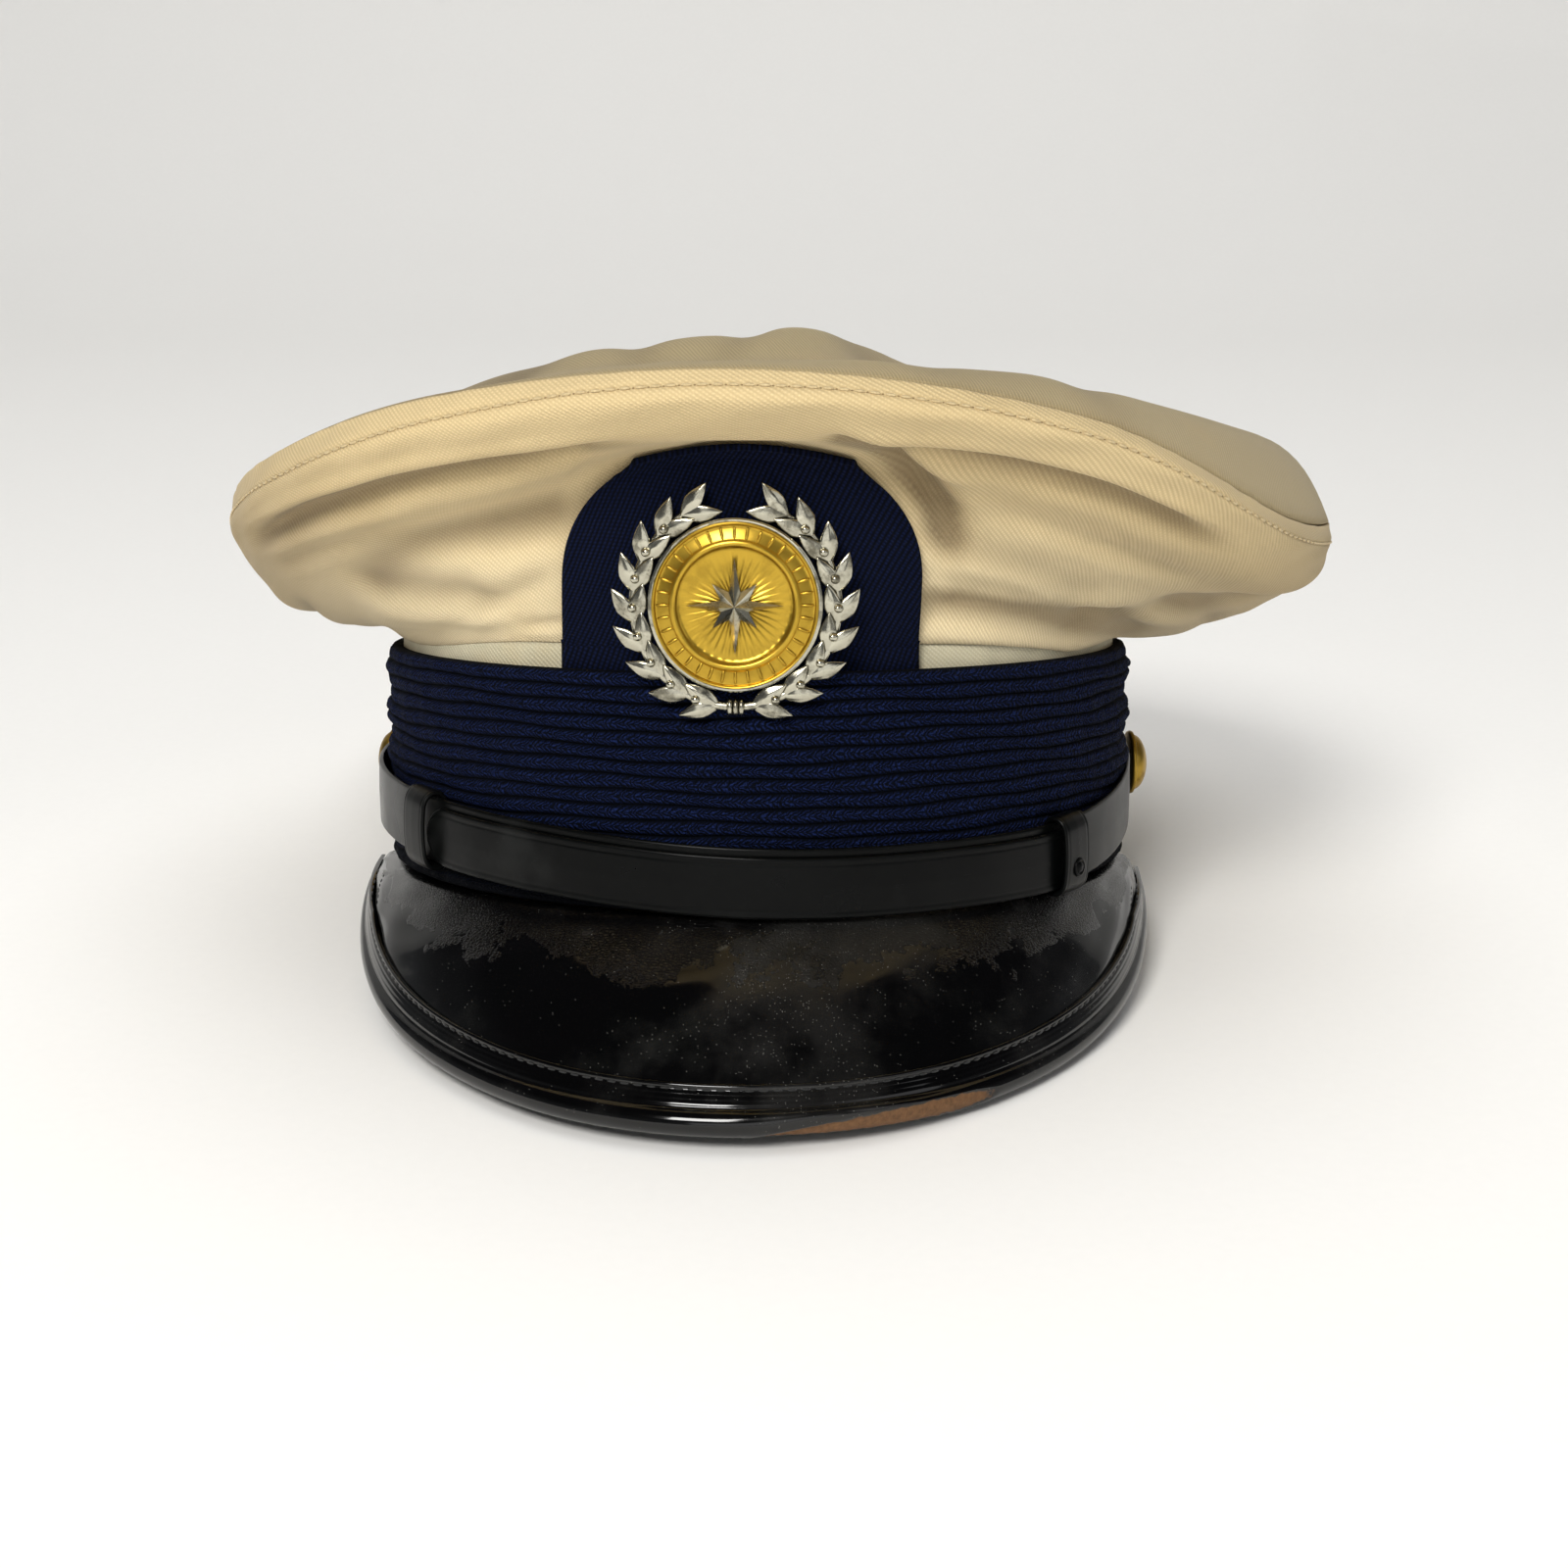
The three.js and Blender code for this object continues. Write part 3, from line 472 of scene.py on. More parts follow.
# Creases in the side: from and to in degrees from the front, how far up they start and end, depth and width.
creases = [
    [-76, -4, 0.57, 0.575, 2.6, 0.04],
    [-60, -14, 0.37, 0.34, 2.1, 0.05],
    [-60, -32, 0.33, 0.19, 1.9, 0.045],
    [4, 56, 0.575, 0.595, 2.5, 0.04],
    [6, 31, 0.62, 0.28, 3.4, 0.05],
    [18, 54, 0.31, 0.24, 1.8, 0.05],
    [16, 78, 0.18, 0.09, 2.8, 0.055],
    [48, 82, 0.1, 0.5, 1.3, 0.08],
    [-74, -40, 0.47, 0.44, 0.7, 0.03],
    [-44, -24, 0.14, 0.24, 0.7, 0.03],
    [-34, -18, 0.08, 0.1, 0.6, 0.02],
    [8, 30, 0.44, 0.36, 0.8, 0.022],
    [24, 60, 0.4, 0.42, 0.7, 0.03],
    [20, 44, 0.24, 0.2, 0.6, 0.02],
    [56, 96, 0.3, 0.22, 0.9, 0.04],
    [98, 150, 0.3, 0.42, 1.2, 0.06],
    [120, 176, 0.5, 0.36, 1.4, 0.06],
    [-150, -104, 0.42, 0.3, 1.3, 0.06],
    [-172, -128, 0.24, 0.34, 0.9, 0.05],
    [-110, -70, 0.22, 0.34, 1.0, 0.05],
]

# Soft swellings of the top panel: centre, spread and height.
swellings = [
    [-9, -60, 53, 38, 12.5],
    [14, -58, 16, 20, 3],
    [34, 40, 40, 45, 4],
    [-45, 45, 30, 30, -4],
]


# The tab: a round-headed patch of navy twill, curved with the front, with a turned edge.
tab = {
    "halfWidth": 35.2,
    "from": 42.0,
    "height": 52.2,
    "straight": 20.0,  # where its sides start to close
    "arch": 34.0,
    "fullness": 3.6,
    "lift": 1.1,
    "wall": 1.5,
}


def tabHalf(up):
    roundness = np.clip((up - tab["straight"]) / tab["arch"], 0, 1)
    return tab["halfWidth"] * (1 - roundness ** tab["fullness"]) ** (1 / tab["fullness"])


# The head opening's oval at a height, grown outwards.
def oval(angle, grow, z):
    return points((head["halfWidth"] + grow) * np.sin(angle), -(head["halfLength"] + grow) * np.cos(angle), z)


# A direction in degrees from the front, to the right of the badge above 0.
def bearing(angle):
    return np.degrees((angle + math.pi) % (2 * math.pi) - math.pi)


def hemInset(angle):
    past = (np.abs(bearing(angle)) - hem["frontAngle"]) / hem["fade"]
    return hem["frontInset"] + (hem["sideInset"] - hem["frontInset"]) * smooth(past)


def crownSection(angle):
    place = angle / math.radians(30)
    i = np.floor(place).astype(int)
    rows = [crownSections[(i + k) % len(crownSections)] for k in (-1, 0, 1, 2)]
    values = catmull(*rows, (place - i)[..., None])
    return dict(zip(sectionColumns, np.moveaxis(values, -1, 0)))


# The side's outer face before its folds, from the hem's seam at t = 0 to the top seam at t = 1.
def plainSide(angle, t):
    s = crownSection(angle)
    whole = np.ones_like(angle)
    outs = [0 * whole, s["lowOut"], s["midOut"], s["lipOut"], whole, s["seamOut"]]
    heights = [hem["seam"] * whole, s["lowZ"], s["midZ"], s["lipZ"], s["rimZ"], s["seamZ"]]
    knots = np.stack([np.stack(outs, -1), np.stack(heights, -1)], -1)
    i = np.clip(np.floor(t * 5), 0, 4).astype(int)
    near = [np.clip(i + k, 0, 5)[..., None, None] for k in (-1, 0, 1, 2)]
    rows = [np.take_along_axis(knots, index, axis=-2)[..., 0, :] for index in near]
    share, z = np.moveaxis(catmull(*rows, (t * 5 - i)[..., None]), -1, 0)
    inner = oval(angle, -hemInset(angle), z)
    halfLength = np.where(np.cos(angle) > 0, rim["front"], rim["back"])
    outer = points(rim["shift"] + rim["halfWidth"] * np.sin(angle), -halfLength * np.cos(angle), z)
    return inner + (outer - inner) * share[..., None]


# The top panel, from the seam at share 1 to the middle at share 0.
def plainTop(angle, share):
    seam = plainSide(angle, np.ones_like(angle))
    roll = crownSection(angle)["roll"]
    middle = np.array([rim["shift"], (rim["back"] - rim["front"]) / 2, 0])
    spot = middle + (seam - middle) * share[..., None]
    fromEdge = np.minimum((1 - share) / crown["rollShare"], 1)
    edgeZ = seam[..., 2] + roll
    z = crown["centreZ"] + (edgeZ - crown["centreZ"]) * np.abs(share) ** crown["dishPower"]
    z += roll * (np.sin(fromEdge * math.pi / 2) - 1)
    for x, y, spreadX, spreadY, height in swellings:
        far = ((spot[..., 0] - x) / spreadX) ** 2 + ((spot[..., 1] - y) / spreadY) ** 2
        z += height * np.exp(-far * far) * smooth(fromEdge)
    spot[..., 2] = z
    return spot


def plainCrown(angle, t):
    side = plainSide(angle, np.minimum(t, 1.0))
    top = plainTop(angle, np.clip(2 - t, 0, 1))
    return np.where((t <= 1)[..., None], side, top)


def foldDepth(angle, t):
    degrees = bearing(angle)
    depth = np.zeros_like(degrees)
    for start, stop, upStart, upStop, deep, width in creases:
        along = (degrees - start) / (stop - start)
        ends = smooth(along / 0.25) * smooth((1 - along) / 0.25)
        off = (t - upStart - (upStop - upStart) * along) / width
        shoulders = 0.3 * (hump(off, 2.0, 0.9) + hump(off, -2.0, 0.9))
        depth += deep * ends * (hump(off, 0, 1) - shoulders)
    return depth


# Little waves along the sewn edge and small dents of worn cloth, in millimetres outwards.
def clothWaves(angle, t):
    edge = hump(t, 0.955, 0.05)
    rippled = np.sin(angle * 83 + 2 * np.sin(angle * 9)) * (0.6 + 0.4 * np.sin(angle * 23))
    worn = np.sin(angle * 13 + t * 9) * np.sin(t * 17 - angle * 5) + 0.5 * np.sin(angle * 29 - t * 31)
    return 0.16 * edge * rippled + 0.22 * worn * smooth(t, 0.02, 0.15) * smooth(t, 1.0, 0.85)


seamDip = {"depth": 0.5, "side": 0.016, "top": 0.01}
topstitch = {"step": 2.9, "length": 2.1, "radius": 0.3, "proud": 0.3, "sunk": 0.35, "hole": 0.28}


# How far up the side the topstitch runs: close under the seam in front, and lower beside it.
def stitchLine(angle):
    return 0.89 - 0.06 * smooth(np.abs(bearing(angle)), 5, 50)


# The crown's outward direction, blended across the sharp seam and straight up at the middle of the top.
def crownNormal(angle, t):
    side = outward(plainCrown, angle, np.minimum(t, 0.99))
    top = outward(plainCrown, angle, np.clip(t, 1.01, 1.98))
    top += (points(0, 0, 1) - top) * smooth(t, 1.8, 1.96)[..., None]
    return unit(side + (top - side) * smooth(t, 0.97, 1.03)[..., None])


# How the cloth's lower edge hangs down onto the band beside the front, in millimetres.
def sideDroop(angle, t):
    degrees = bearing(angle)
    right = 2.8 * smooth(t, 0.2, 0.07) * smooth(degrees, 30, 62)
    left = 3.2 * smooth(t, 0.09, 0.0) * smooth(degrees, -30, -62)
    raised = 2.4 * hump(t, 0.21, 0.12) * smooth(degrees, -45, -70) * smooth(degrees, -150, -115)
    return (right + left) * smooth(np.abs(degrees), 175, 130) - raised


# Where the tab lies over the side, from 0 outside it to 1 under it.
def underTab(spot, t):
    up = np.clip(spot[..., 2] - tab["from"], 0, tab["height"])
    inside = smooth(tabHalf(up) - np.abs(spot[..., 0]), -2.5, 1.0)
    return inside * (spot[..., 1] < 0) * smooth(t, 0.64, 0.56)


# How deep the top seam and the topstitch pull the cloth in. The seam is fuller at the two sides.
def seamDepth(angle, t):
    seam = seamDip["depth"] * hump(t, 1, np.where(t <= 1, seamDip["side"], seamDip["top"]))
    seam *= 1 - 0.6 * hump(np.abs(bearing(angle)), 90, 30)
    return seam + topstitch["sunk"] * hump(t, stitchLine(angle), 0.012)


# The crown's outer face with its folds, seams and fuller places.
def crownPoint(angle, t, lift=0.0):
    swell = np.where(t <= 1, clothWaves(angle, t), topWrinkles(angle, t))
    degrees = bearing(angle)
    plain = plainCrown(angle, t)
    fuller = 1.6 * hump(t, 1.05, 0.05) * hump(degrees, 90, 26)
    fuller += 2.8 * hump(t, 0.52, 0.13) * hump(degrees, 68, 18)
    folds = 1.3 * foldDepth(angle, t) * (1 - 0.8 * underTab(plain, t))
    out = crownNormal(angle, t) * (lift + swell + fuller - seamDepth(angle, t) - folds)[..., None]
    return plain + out - points(0, 0, sideDroop(angle, t))


# Where shade is painted into the cloth's colour: in the creases, under the lip, along the seams and towards
# both sides, where the light falls off, from 0 to 1.
def crownPaintedShade(angle, t):
    folds = np.clip(foldDepth(angle, t) / 2.3, 0, 1) ** 1.3
    underLipShade = 0.15 * hump(t, 0.5, 0.09) * smooth(np.cos(angle), -0.3, 0.4)
    seamShade = 0.3 * hump(t, 1, 0.01) + 0.3 * hump(t, stitchLine(angle), 0.011) + 0.3 * hump(t, 0, 0.02)
    # Painted shade towards both sides, where the light falls off.
    sidesShade = 0.65 * smooth(np.abs(bearing(angle)), 32, 80) * smooth(t, 1.05, 0.75)
    return np.clip(folds + underLipShade + seamShade + sidesShade, 0, 1)


# Valleys of the top panel behind its front seam: where, how aslant, how wide and how deep.
valleys = [
    [-78, 0.5, 8, 0.8],
    [-44, 0.2, 8, 1.3],
    [-21, -0.1, 5, 1.0],
    [1, 0.15, 4, 0.8],
    [27, -0.3, 6, 1.1],
    [60, -0.5, 8, 1.0],
]


def topSpot(angle, t):
    top = plainTop(angle, np.clip(2 - t, 0, 1))
    return top[..., 0], top[..., 1]


def valleyDepth(x, y):
    depths = (deep * hump(x - at - aslant * (y + 80), 0, wide) for at, aslant, wide, deep in valleys)
    return sum(depths) * hump(y, -84, 30)


# Soft wrinkles of the top panel, in millimetres upwards.
def topWrinkles(angle, t):
    x, y = topSpot(angle, t)
    waves = 0.45 * np.sin(x * 0.11 + 1.4 * np.sin(y * 0.05)) * np.sin(y * 0.07 + 0.7 + 0.02 * x)
    return smooth(t, 1.0, 1.12) * (waves - 1.2 * valleyDepth(x, y))


# Where shade is painted into the top panel's colour: in its valleys, at both ends of its hump and along the
# seam.
def topPaintedShade(angle, t):
    x, y = topSpot(angle, t)
    ends = 0.45 * (hump(x, -54, 15) + hump(x, 44, 14)) * hump(y, -84, 34)
    return np.clip(0.3 * hump(t, 1, 0.01) + 0.4 * valleyDepth(x, y) + ends, 0, 1)


crownGrid = {"around": 440, "sideRows": 90, "topRows": 60, "spread": 1.2, "seamGap": 0.002}


def turnOf(share):
    return (share - 0.5) * 2 * math.pi


# How far the cloth runs along a surface at each angle, in millimetres, so that its weave keeps its size.
class ClothRun:
    def __init__(self, surface):
        self.angles = np.linspace(-math.pi, math.pi, 181)
        self.levels = np.linspace(0, 1, 101)
        angle, level = np.meshgrid(self.angles, self.levels, indexing="ij")
        spots = surface(angle, level)
        steps = np.linalg.norm(np.diff(spots, axis=1), axis=-1)
        self.up = np.pad(np.cumsum(steps, axis=1), ((0, 0), (1, 0)))
        self.around = walkedAlong(spots[:, len(self.levels) // 2])

    def at(self, angle, level):
        across = np.interp(angle, self.angles, np.arange(len(self.angles)))
        along = np.interp(level, self.levels, np.arange(len(self.levels)))
        i = np.minimum(across.astype(int), len(self.angles) - 2)
        j = np.minimum(along.astype(int), len(self.levels) - 2)
        f, g = across - i, along - j
        near = self.up[i, j] * (1 - g) + self.up[i, j + 1] * g
        far = self.up[i + 1, j] * (1 - g) + self.up[i + 1, j + 1] * g
        return np.interp(angle, self.angles, self.around), near * (1 - f) + far * f


def makeCrownSide(material):
    run = ClothRun(plainSide)
    bm = layGrid(
        crownGrid["around"],
        crownGrid["sideRows"],
        lambda u, v: crownPoint(turnOf(u), v * (1 - crownGrid["seamGap"])),
        lambda u, v: run.at(turnOf(u), v),
        closeAcross=True,
        hollows=lambda u, v: crownPaintedShade(turnOf(u), v),
    )
    piece = finishPiece("crown_side_cloth", bm, material, ["crown_side"], crown["wall"])
    return piece


def makeCrownTop(material):
    run = ClothRun(plainTop)

    gap = crownGrid["seamGap"]

    def inwards(v):
        return v ** crownGrid["spread"]

    def clothMap(u, v):
        reach = run.at(turnOf(u), 1 - inwards(v))[1]
        return reach * np.sin(turnOf(u)), -reach * np.cos(turnOf(u))

    bm = layGrid(
        crownGrid["around"],
        crownGrid["topRows"],
        lambda u, v: crownPoint(turnOf(u), 1 + gap + (1 - gap) * inwards(v)),
        clothMap,
        closeAcross=True,
        hollows=lambda u, v: topPaintedShade(turnOf(u), 1 + inwards(v)),
    )
    piece = finishPiece("crown_top_cloth", bm, material, ["crown_top"], crown["wall"])
    return piece


hemStrip = {"from": 38.0, "wall": 1.2}


def makeHem(material):
    tall = hem["seam"] - 0.08 - hemStrip["from"]

    def place(u, v):
        angle = turnOf(u)
        bulge = 0.3 * np.sin(np.pi * v) + 0.1 * np.sin(angle * 61) * smooth(v, 1, 0.7)
        return oval(angle, bulge - 0.1 - hemInset(angle), hemStrip["from"] + tall * v)

    bm = layGrid(360, 10, place, lambda u, v: (turnOf(u) * head["halfLength"], v * tall), closeAcross=True)
    piece = finishPiece("crown_hem_cloth", bm, material, ["crown_hem"], hemStrip["wall"])
    return piece


# A stitch that shows: a short thread, thinner towards its two sunk ends.
def stitchShape(length, radius):
    bm = bmesh.new()
    bmesh.ops.create_uvsphere(bm, u_segments=8, v_segments=6, radius=1)
    bmesh.ops.scale(bm, vec=(length / 2, radius, radius), verts=bm.verts)
    return bm


def stitchPlaces(line, normal, step):
    lengths = walkedAlong(line)
    count = int(lengths[-1] / step)
    for walked in (np.arange(count) + 0.5) * lengths[-1] / count:
        wanted = ((walked, line), (walked + 0.5, line), (walked, normal))
        spots = [Vector([np.interp(at, lengths, column) for column in rows.T]) for at, rows in wanted]
        yield placed(spots[0], spots[1] - spots[0], spots[2])


# The topstitch and, between its stitches, small dimples painted dark as the shade in the needle's holes.
def makeTopstitch(material, holeMaterial):
    angle = np.linspace(-math.pi, math.pi, 1441)
    up = stitchLine(angle)
    step, hole = topstitch["step"], topstitch["hole"]
    between = angle + 0.5 * step / rim["halfWidth"]
    thread = stitchShape(topstitch["length"], topstitch["radius"])
    dimple = stitchShape(2 * hole, 0.7 * hole)
    rows = [
        ("crown_topstitch", thread, crownPoint(angle, up, topstitch["proud"]), material),
        ("crown_stitch_holes", dimple, crownPoint(between, up, -0.04), holeMaterial),
    ]
    for name, shape, line, finish in rows:
        places = stitchPlaces(line, outward(plainCrown, angle, up), step)
        finishPiece(name, scatter(shape, places), finish)


# The band: a stiff ring with sixteen rounded ribs of braid, and soft bulges where it is loose at the sides.
band = {"height": 48.2, "backing": 1.7, "ribs": 16, "ribDepth": 1.1, "rowsPerRib": 9, "slack": 1.3}


def makeBand(material):
    pitch = band["height"] / band["ribs"]
    rows = np.linspace(0, band["height"], band["ribs"] * band["rowsPerRib"] + 1)
    within = (rows / pitch) % 1
    crest = np.sqrt(np.clip(1 - (2 * within - 1) ** 2, 0, 1)) ** 0.8
    outer = np.stack([band["backing"] + band["ribDepth"] * crest, rows, np.ones_like(rows)], -1)
    section = Section([*outer, (0, band["height"], 0), (0, band["height"] / 2, 0), (0, 0, 0)])

    def place(u, v):
        angle = turnOf(u)
        grow, z, isOuter = section.at(v)
        aside = np.abs(np.degrees(angle))
        sides = smooth(aside, 48, 84) * smooth(aside, 150, 110)
        waves = 0.5 + 0.5 * np.sin(z * 0.62 + 0.6 * np.sin(angle * 3) + 0.8 * np.sign(angle))
        loose = band["slack"] * sides * waves * smooth(z, 3, 9) * smooth(z, 48, 44)
        tug = 0.12 * np.sin(angle * 41 + z * 0.4) + 0.1 * np.sin(angle * 97)
        wander = 0.3 * np.sin(angle * 6 + 0.15 * z) + 0.2 * np.sin(angle * 17 + 0.5 * z)
        wander *= smooth(z, 0, 5) * smooth(z, 48, 43)
        return oval(angle, grow + isOuter * (loose + tug), z + wander)

    def clothMap(u, v):
        return turnOf(u) * head["halfLength"], section.at(v)[1]

    bm = layGrid(420, len(section.ring) + 60, place, clothMap, closeAcross=True, closeAlong=True)
    return finishPiece("band_braid", bm, material, ["band"], sharpOver=70)


# The front of the crown and, below its seam, of the hem, by the height of a point.
def frontFace(x, z, lift):
    levels = np.linspace(0, 0.6, 400)
    profile = plainSide(np.zeros_like(levels), levels)
    heights = np.maximum.accumulate(profile[:, 2])
    t = np.interp(z, heights, levels)
    insetWidth = head["halfWidth"] - hem["frontInset"]
    share = -np.interp(t, levels, profile[:, 1]) - (head["halfLength"] - hem["frontInset"])
    share = np.clip(share / (rim["front"] - head["halfLength"]), 0, 1)
    angle = np.arcsin(x / (insetWidth + (rim["halfWidth"] - insetWidth) * share))
    above = plainSide(angle, t) + outward(plainSide, angle, np.maximum(t, 0.01)) * lift[..., None]
    turn = np.arcsin(x / insetWidth)
    away = unit(points(np.sin(turn) * head["halfLength"], -np.cos(turn) * head["halfWidth"], 0))
    below = oval(turn, -hem["frontInset"], z) + away * lift[..., None]
    return np.where((z <= hem["seam"])[..., None], below, above)


def makeTab(material):
    def clothMap(u, v):
        up = tab["height"] * np.sin(v * math.pi / 2)
        return (2 * u - 1) * tabHalf(up), up

    def place(u, v):
        x, up = clothMap(u, v)
        fromEdge = np.minimum((1 - np.abs(2 * u - 1)) * tabHalf(up), tab["height"] - up)
        turned = 0.35 * smooth(fromEdge, 0.0, 1.2) - 0.2 * hump(fromEdge, 2.6, 0.5)
        return frontFace(x, tab["from"] + up, tab["lift"] + tab["wall"] - 0.3 + turned)

    bm = layGrid(120, 90, place, clothMap)
    piece = finishPiece("badge_tab_cloth", bm, material, ["badge_tab"], tab["wall"] - 0.2)
    return piece


# The peak: a lacquered sheet that leaves the band, with its edge in a folded and sewn binding.
peak = {"thickness": 2.2, "twist": 1.3, "endAngle": 84.0, "bulge": 2.6, "mapRun": 50.0, "mapRadius": 130.0}
flange = {"innerGrow": -1.2, "outerGrow": 2.2, "z": -1.45}
peakOut = [35, 32.3, 25.3, 18.8, 12.6, 7, 3.4]  # how far outside the oval its edge lies, every 15 degrees
peakDrop = [36, 35.3, 32.8, 28, 20.5, 10.5, 3.4]  # and how far below the band
binding = {"arm": 8.5, "wall": 0.9, "nose": 2.3}
tear = {
    "middle": 34.0,  # millimetres along the edge from the front
    "halfLength": 28.0,
    "at": 11.7,  # millimetres round the binding's section
    "rise": 0.06,
    "halfWidth": 3.1,
    "depth": 0.5,
    "flapMiddle": 26.0,
    "flapLength": 15.0,
    "flapAt": 7.9,
    "flapWidth": 1.3,
    "flapLift": 1.2,
}


# A value of the tables above at any angle, the same on both sides.
def peakColumn(column, angle):
    place = np.abs(angle) / math.radians(15)
    i = np.floor(place).astype(int)
    column = np.array(column, float)
    rows = [column[np.minimum(np.abs(i + k), len(column) - 1)] for k in (-1, 0, 1, 2)]
    return catmull(*rows, place - i)


def peakPoint(angle, share):
    inner = oval(angle, flange["outerGrow"], flange["z"])
    drop = -peakColumn(peakDrop, angle) - peak["twist"] * np.sin(angle)
    outer = oval(angle, peakColumn(peakOut, angle), drop)
    tangent = points(np.cos(angle) * head["halfWidth"], np.sin(angle) * head["halfLength"], 0)
    normal = unit(np.cross(unit(tangent), unit(inner - outer)))
    bulge = peak["bulge"] * np.sin(np.pi * share) * np.sqrt(np.maximum(np.cos(angle), 0))
    return inner + (outer - inner) * share[..., None] + normal * bulge[..., None]


# The directions at the peak's edge: out along the sheet, and up off it.
def peakEdge(angle):
    whole = np.ones_like(angle)
    out = unit(peakPoint(angle, whole) - peakPoint(angle, 0.9 * whole))
    along = unit(peakPoint(angle + 0.02, whole) - peakPoint(angle - 0.02, whole))
    up = -unit(np.cross(along, out))
    return -unit(np.cross(up, along)), up


def edgeLength(angle):
    whole = np.ones_like(angle)
    return np.linalg.norm(peakPoint(angle, whole) - peakPoint(angle, 0 * whole), axis=-1)


def peakAngle(share):
    return math.radians(peak["endAngle"]) * (2 * share - 1)


def makePeak(material):
    half = peak["thickness"] / 2
    rows = np.linspace(0, 1, 60)
    corners = [(share, half) for share in (-0.12, *rows)] + [(share, -half) for share in (*rows[::-2], -0.12)]
    section = Section([(peak["mapRun"] * share, side) for share, side in corners])

    def place(u, v):
        angle = peakAngle(u)
        run, side = section.at(v)
        share = run / peak["mapRun"]
        up = peakEdge(angle)[1]
        shown = np.clip(share, 0, 1) * (1 - binding["nose"] / edgeLength(angle))
        sheet = peakPoint(angle, shown) + up * side[..., None]
        inner = oval(angle, flange["innerGrow"], flange["z"] + side)
        lumps = 0.12 * np.sin(angle * 31 + share * 7) * np.sin(share * 11) * (side > 0)
        sheet = sheet + up * (lumps * smooth(share, 0, 0.1) * smooth(share, 0.8, 0.7))[..., None]
        return np.where((share < 0)[..., None], inner, sheet)

    def clothMap(u, v):
        return peakAngle(u) * peak["mapRadius"], section.at(v)[0]

    bm = layGrid(300, len(section.ring) + 40, place, clothMap, closeAlong=True, caps=True)
    return finishPiece("peak_sheet", bm, material, ["peak"], sharpOver=60)


# The binding's section, as how far back from the peak's edge and how high off its middle: the upper arm with
# its ridge and fine lines, the round bead at the nose, and the lower arm.
bead = {"back": 1.4, "radius": 2.7}


def bindingSection():
    arm, inner = binding["arm"], peak["thickness"] / 2 + 0.3
    outer = inner + binding["wall"]
    turns = np.radians(np.linspace(50, 310, 40))
    nose = [(bead["back"] + bead["radius"] * math.cos(a), bead["radius"] * math.sin(a)) for a in turns]
    ridges = [(arm, -0.3), (8.3, 0), (7.7, 0.05), (7.3, -0.35), (6.9, -0.4), (6.6, -0.27), (6.1, -0.24)]
    ridges += [(5.9, -0.32), (5.7, -0.23), (5.1, -0.2), (4.95, -0.27), (4.8, -0.2), (4.1, -0.2), (3.7, -0.4)]
    upper = [(arm, inner), *((back, outer + rise) for back, rise in ridges)]
    return Section([*upper, *nose, (arm, -outer), (arm, -inner), (2.0, -inner), (2.0, inner)])


def makeBinding(material):
    section = bindingSection()

    def clothMap(u, v):
        return peakAngle(u) * peak["mapRadius"], v * section.lengths[-1]

    def place(u, v):
        angle = peakAngle(u)
        out, up = peakEdge(angle)
        length = edgeLength(angle)
        back, height = section.at(v)
        back = back * np.minimum(1, length * 0.45 / binding["arm"])
        foot = peakPoint(angle, 1 - np.maximum(back, 0) / length)
        spot = foot + out * np.maximum(-back, 0)[..., None] + up * height[..., None]
        middle = peakPoint(angle, 1 - bead["back"] / length)
        run, walked = clothMap(u, v)
        line = tear["at"] - tear["rise"] * (run - tear["middle"])
        off = ((run - tear["middle"]) / tear["halfLength"]) ** 2 + ((walked - line) / tear["halfWidth"]) ** 2
        flap = hump(run, tear["flapMiddle"], tear["flapLength"])
        flap *= hump(walked, tear["flapAt"], tear["flapWidth"])
        ragged = 0.1 * np.sin(run * 1.9) * np.sin(walked * 2.3 + run * 0.7)
        swell = tear["flapLift"] * flap - (tear["depth"] - ragged) * smooth(off, 1.1, 0.8)
        return spot + unit(spot - middle) * swell[..., None]

    bm = layGrid(480, 150, place, clothMap, closeAlong=True, caps=True)
    return finishPiece("peak_bound_edge", bm, material, ["peak_binding"], sharpOver=60)


edgeStitch = {"back": 7.1, "step": 2.7, "length": 1.9, "radius": 0.2, "endAngle": 74}


def makeEdgeStitches(material):
    angle = np.radians(np.linspace(-edgeStitch["endAngle"], edgeStitch["endAngle"], 900))
    up = peakEdge(angle)[1]
    high = peak["thickness"] / 2 + binding["wall"]
    line = peakPoint(angle, 1 - edgeStitch["back"] / edgeLength(angle)) + up * high
    places = stitchPlaces(line, up, edgeStitch["step"])
    bm = scatter(stitchShape(edgeStitch["length"], edgeStitch["radius"]), places)
    return finishPiece("peak_stitches", bm, material)


# The chin strap: stations with how far it stands off the ribs and the height of its middle.
strap = {"width": 14.2, "thickness": 2.2, "lean": 5.0, "crest": 2.6, "ends": (-104, 104), "mapScale": 1.6}
frontStrap = {"narrower": 1.6, "ends": (-49, 53), "shift": -0.8}
strapAngles = [-104, -94, -80, -60, -30, 0, 30, 50, 66, 80, 94, 104]
strapOff = [0.4, 0.9, 2.1, 2.3, 1.8, 1.7, 1.8, 1.8, 1.2, 0.7, 0.6, 0.4]
strapZ = [19.5, 17.6, 15.6, 13.4, 10, 6.6, 6.5, 7.4, 10.2, 13.6, 17.4, 19.2]


def strapMiddle(angle):
    degrees = np.degrees(angle)
    off = throughTable(degrees, strapAngles, strapOff)
    z = throughTable(degrees, strapAngles, strapZ)
    return oval(angle, strap["crest"] + off + strap["thickness"] / 2, z)


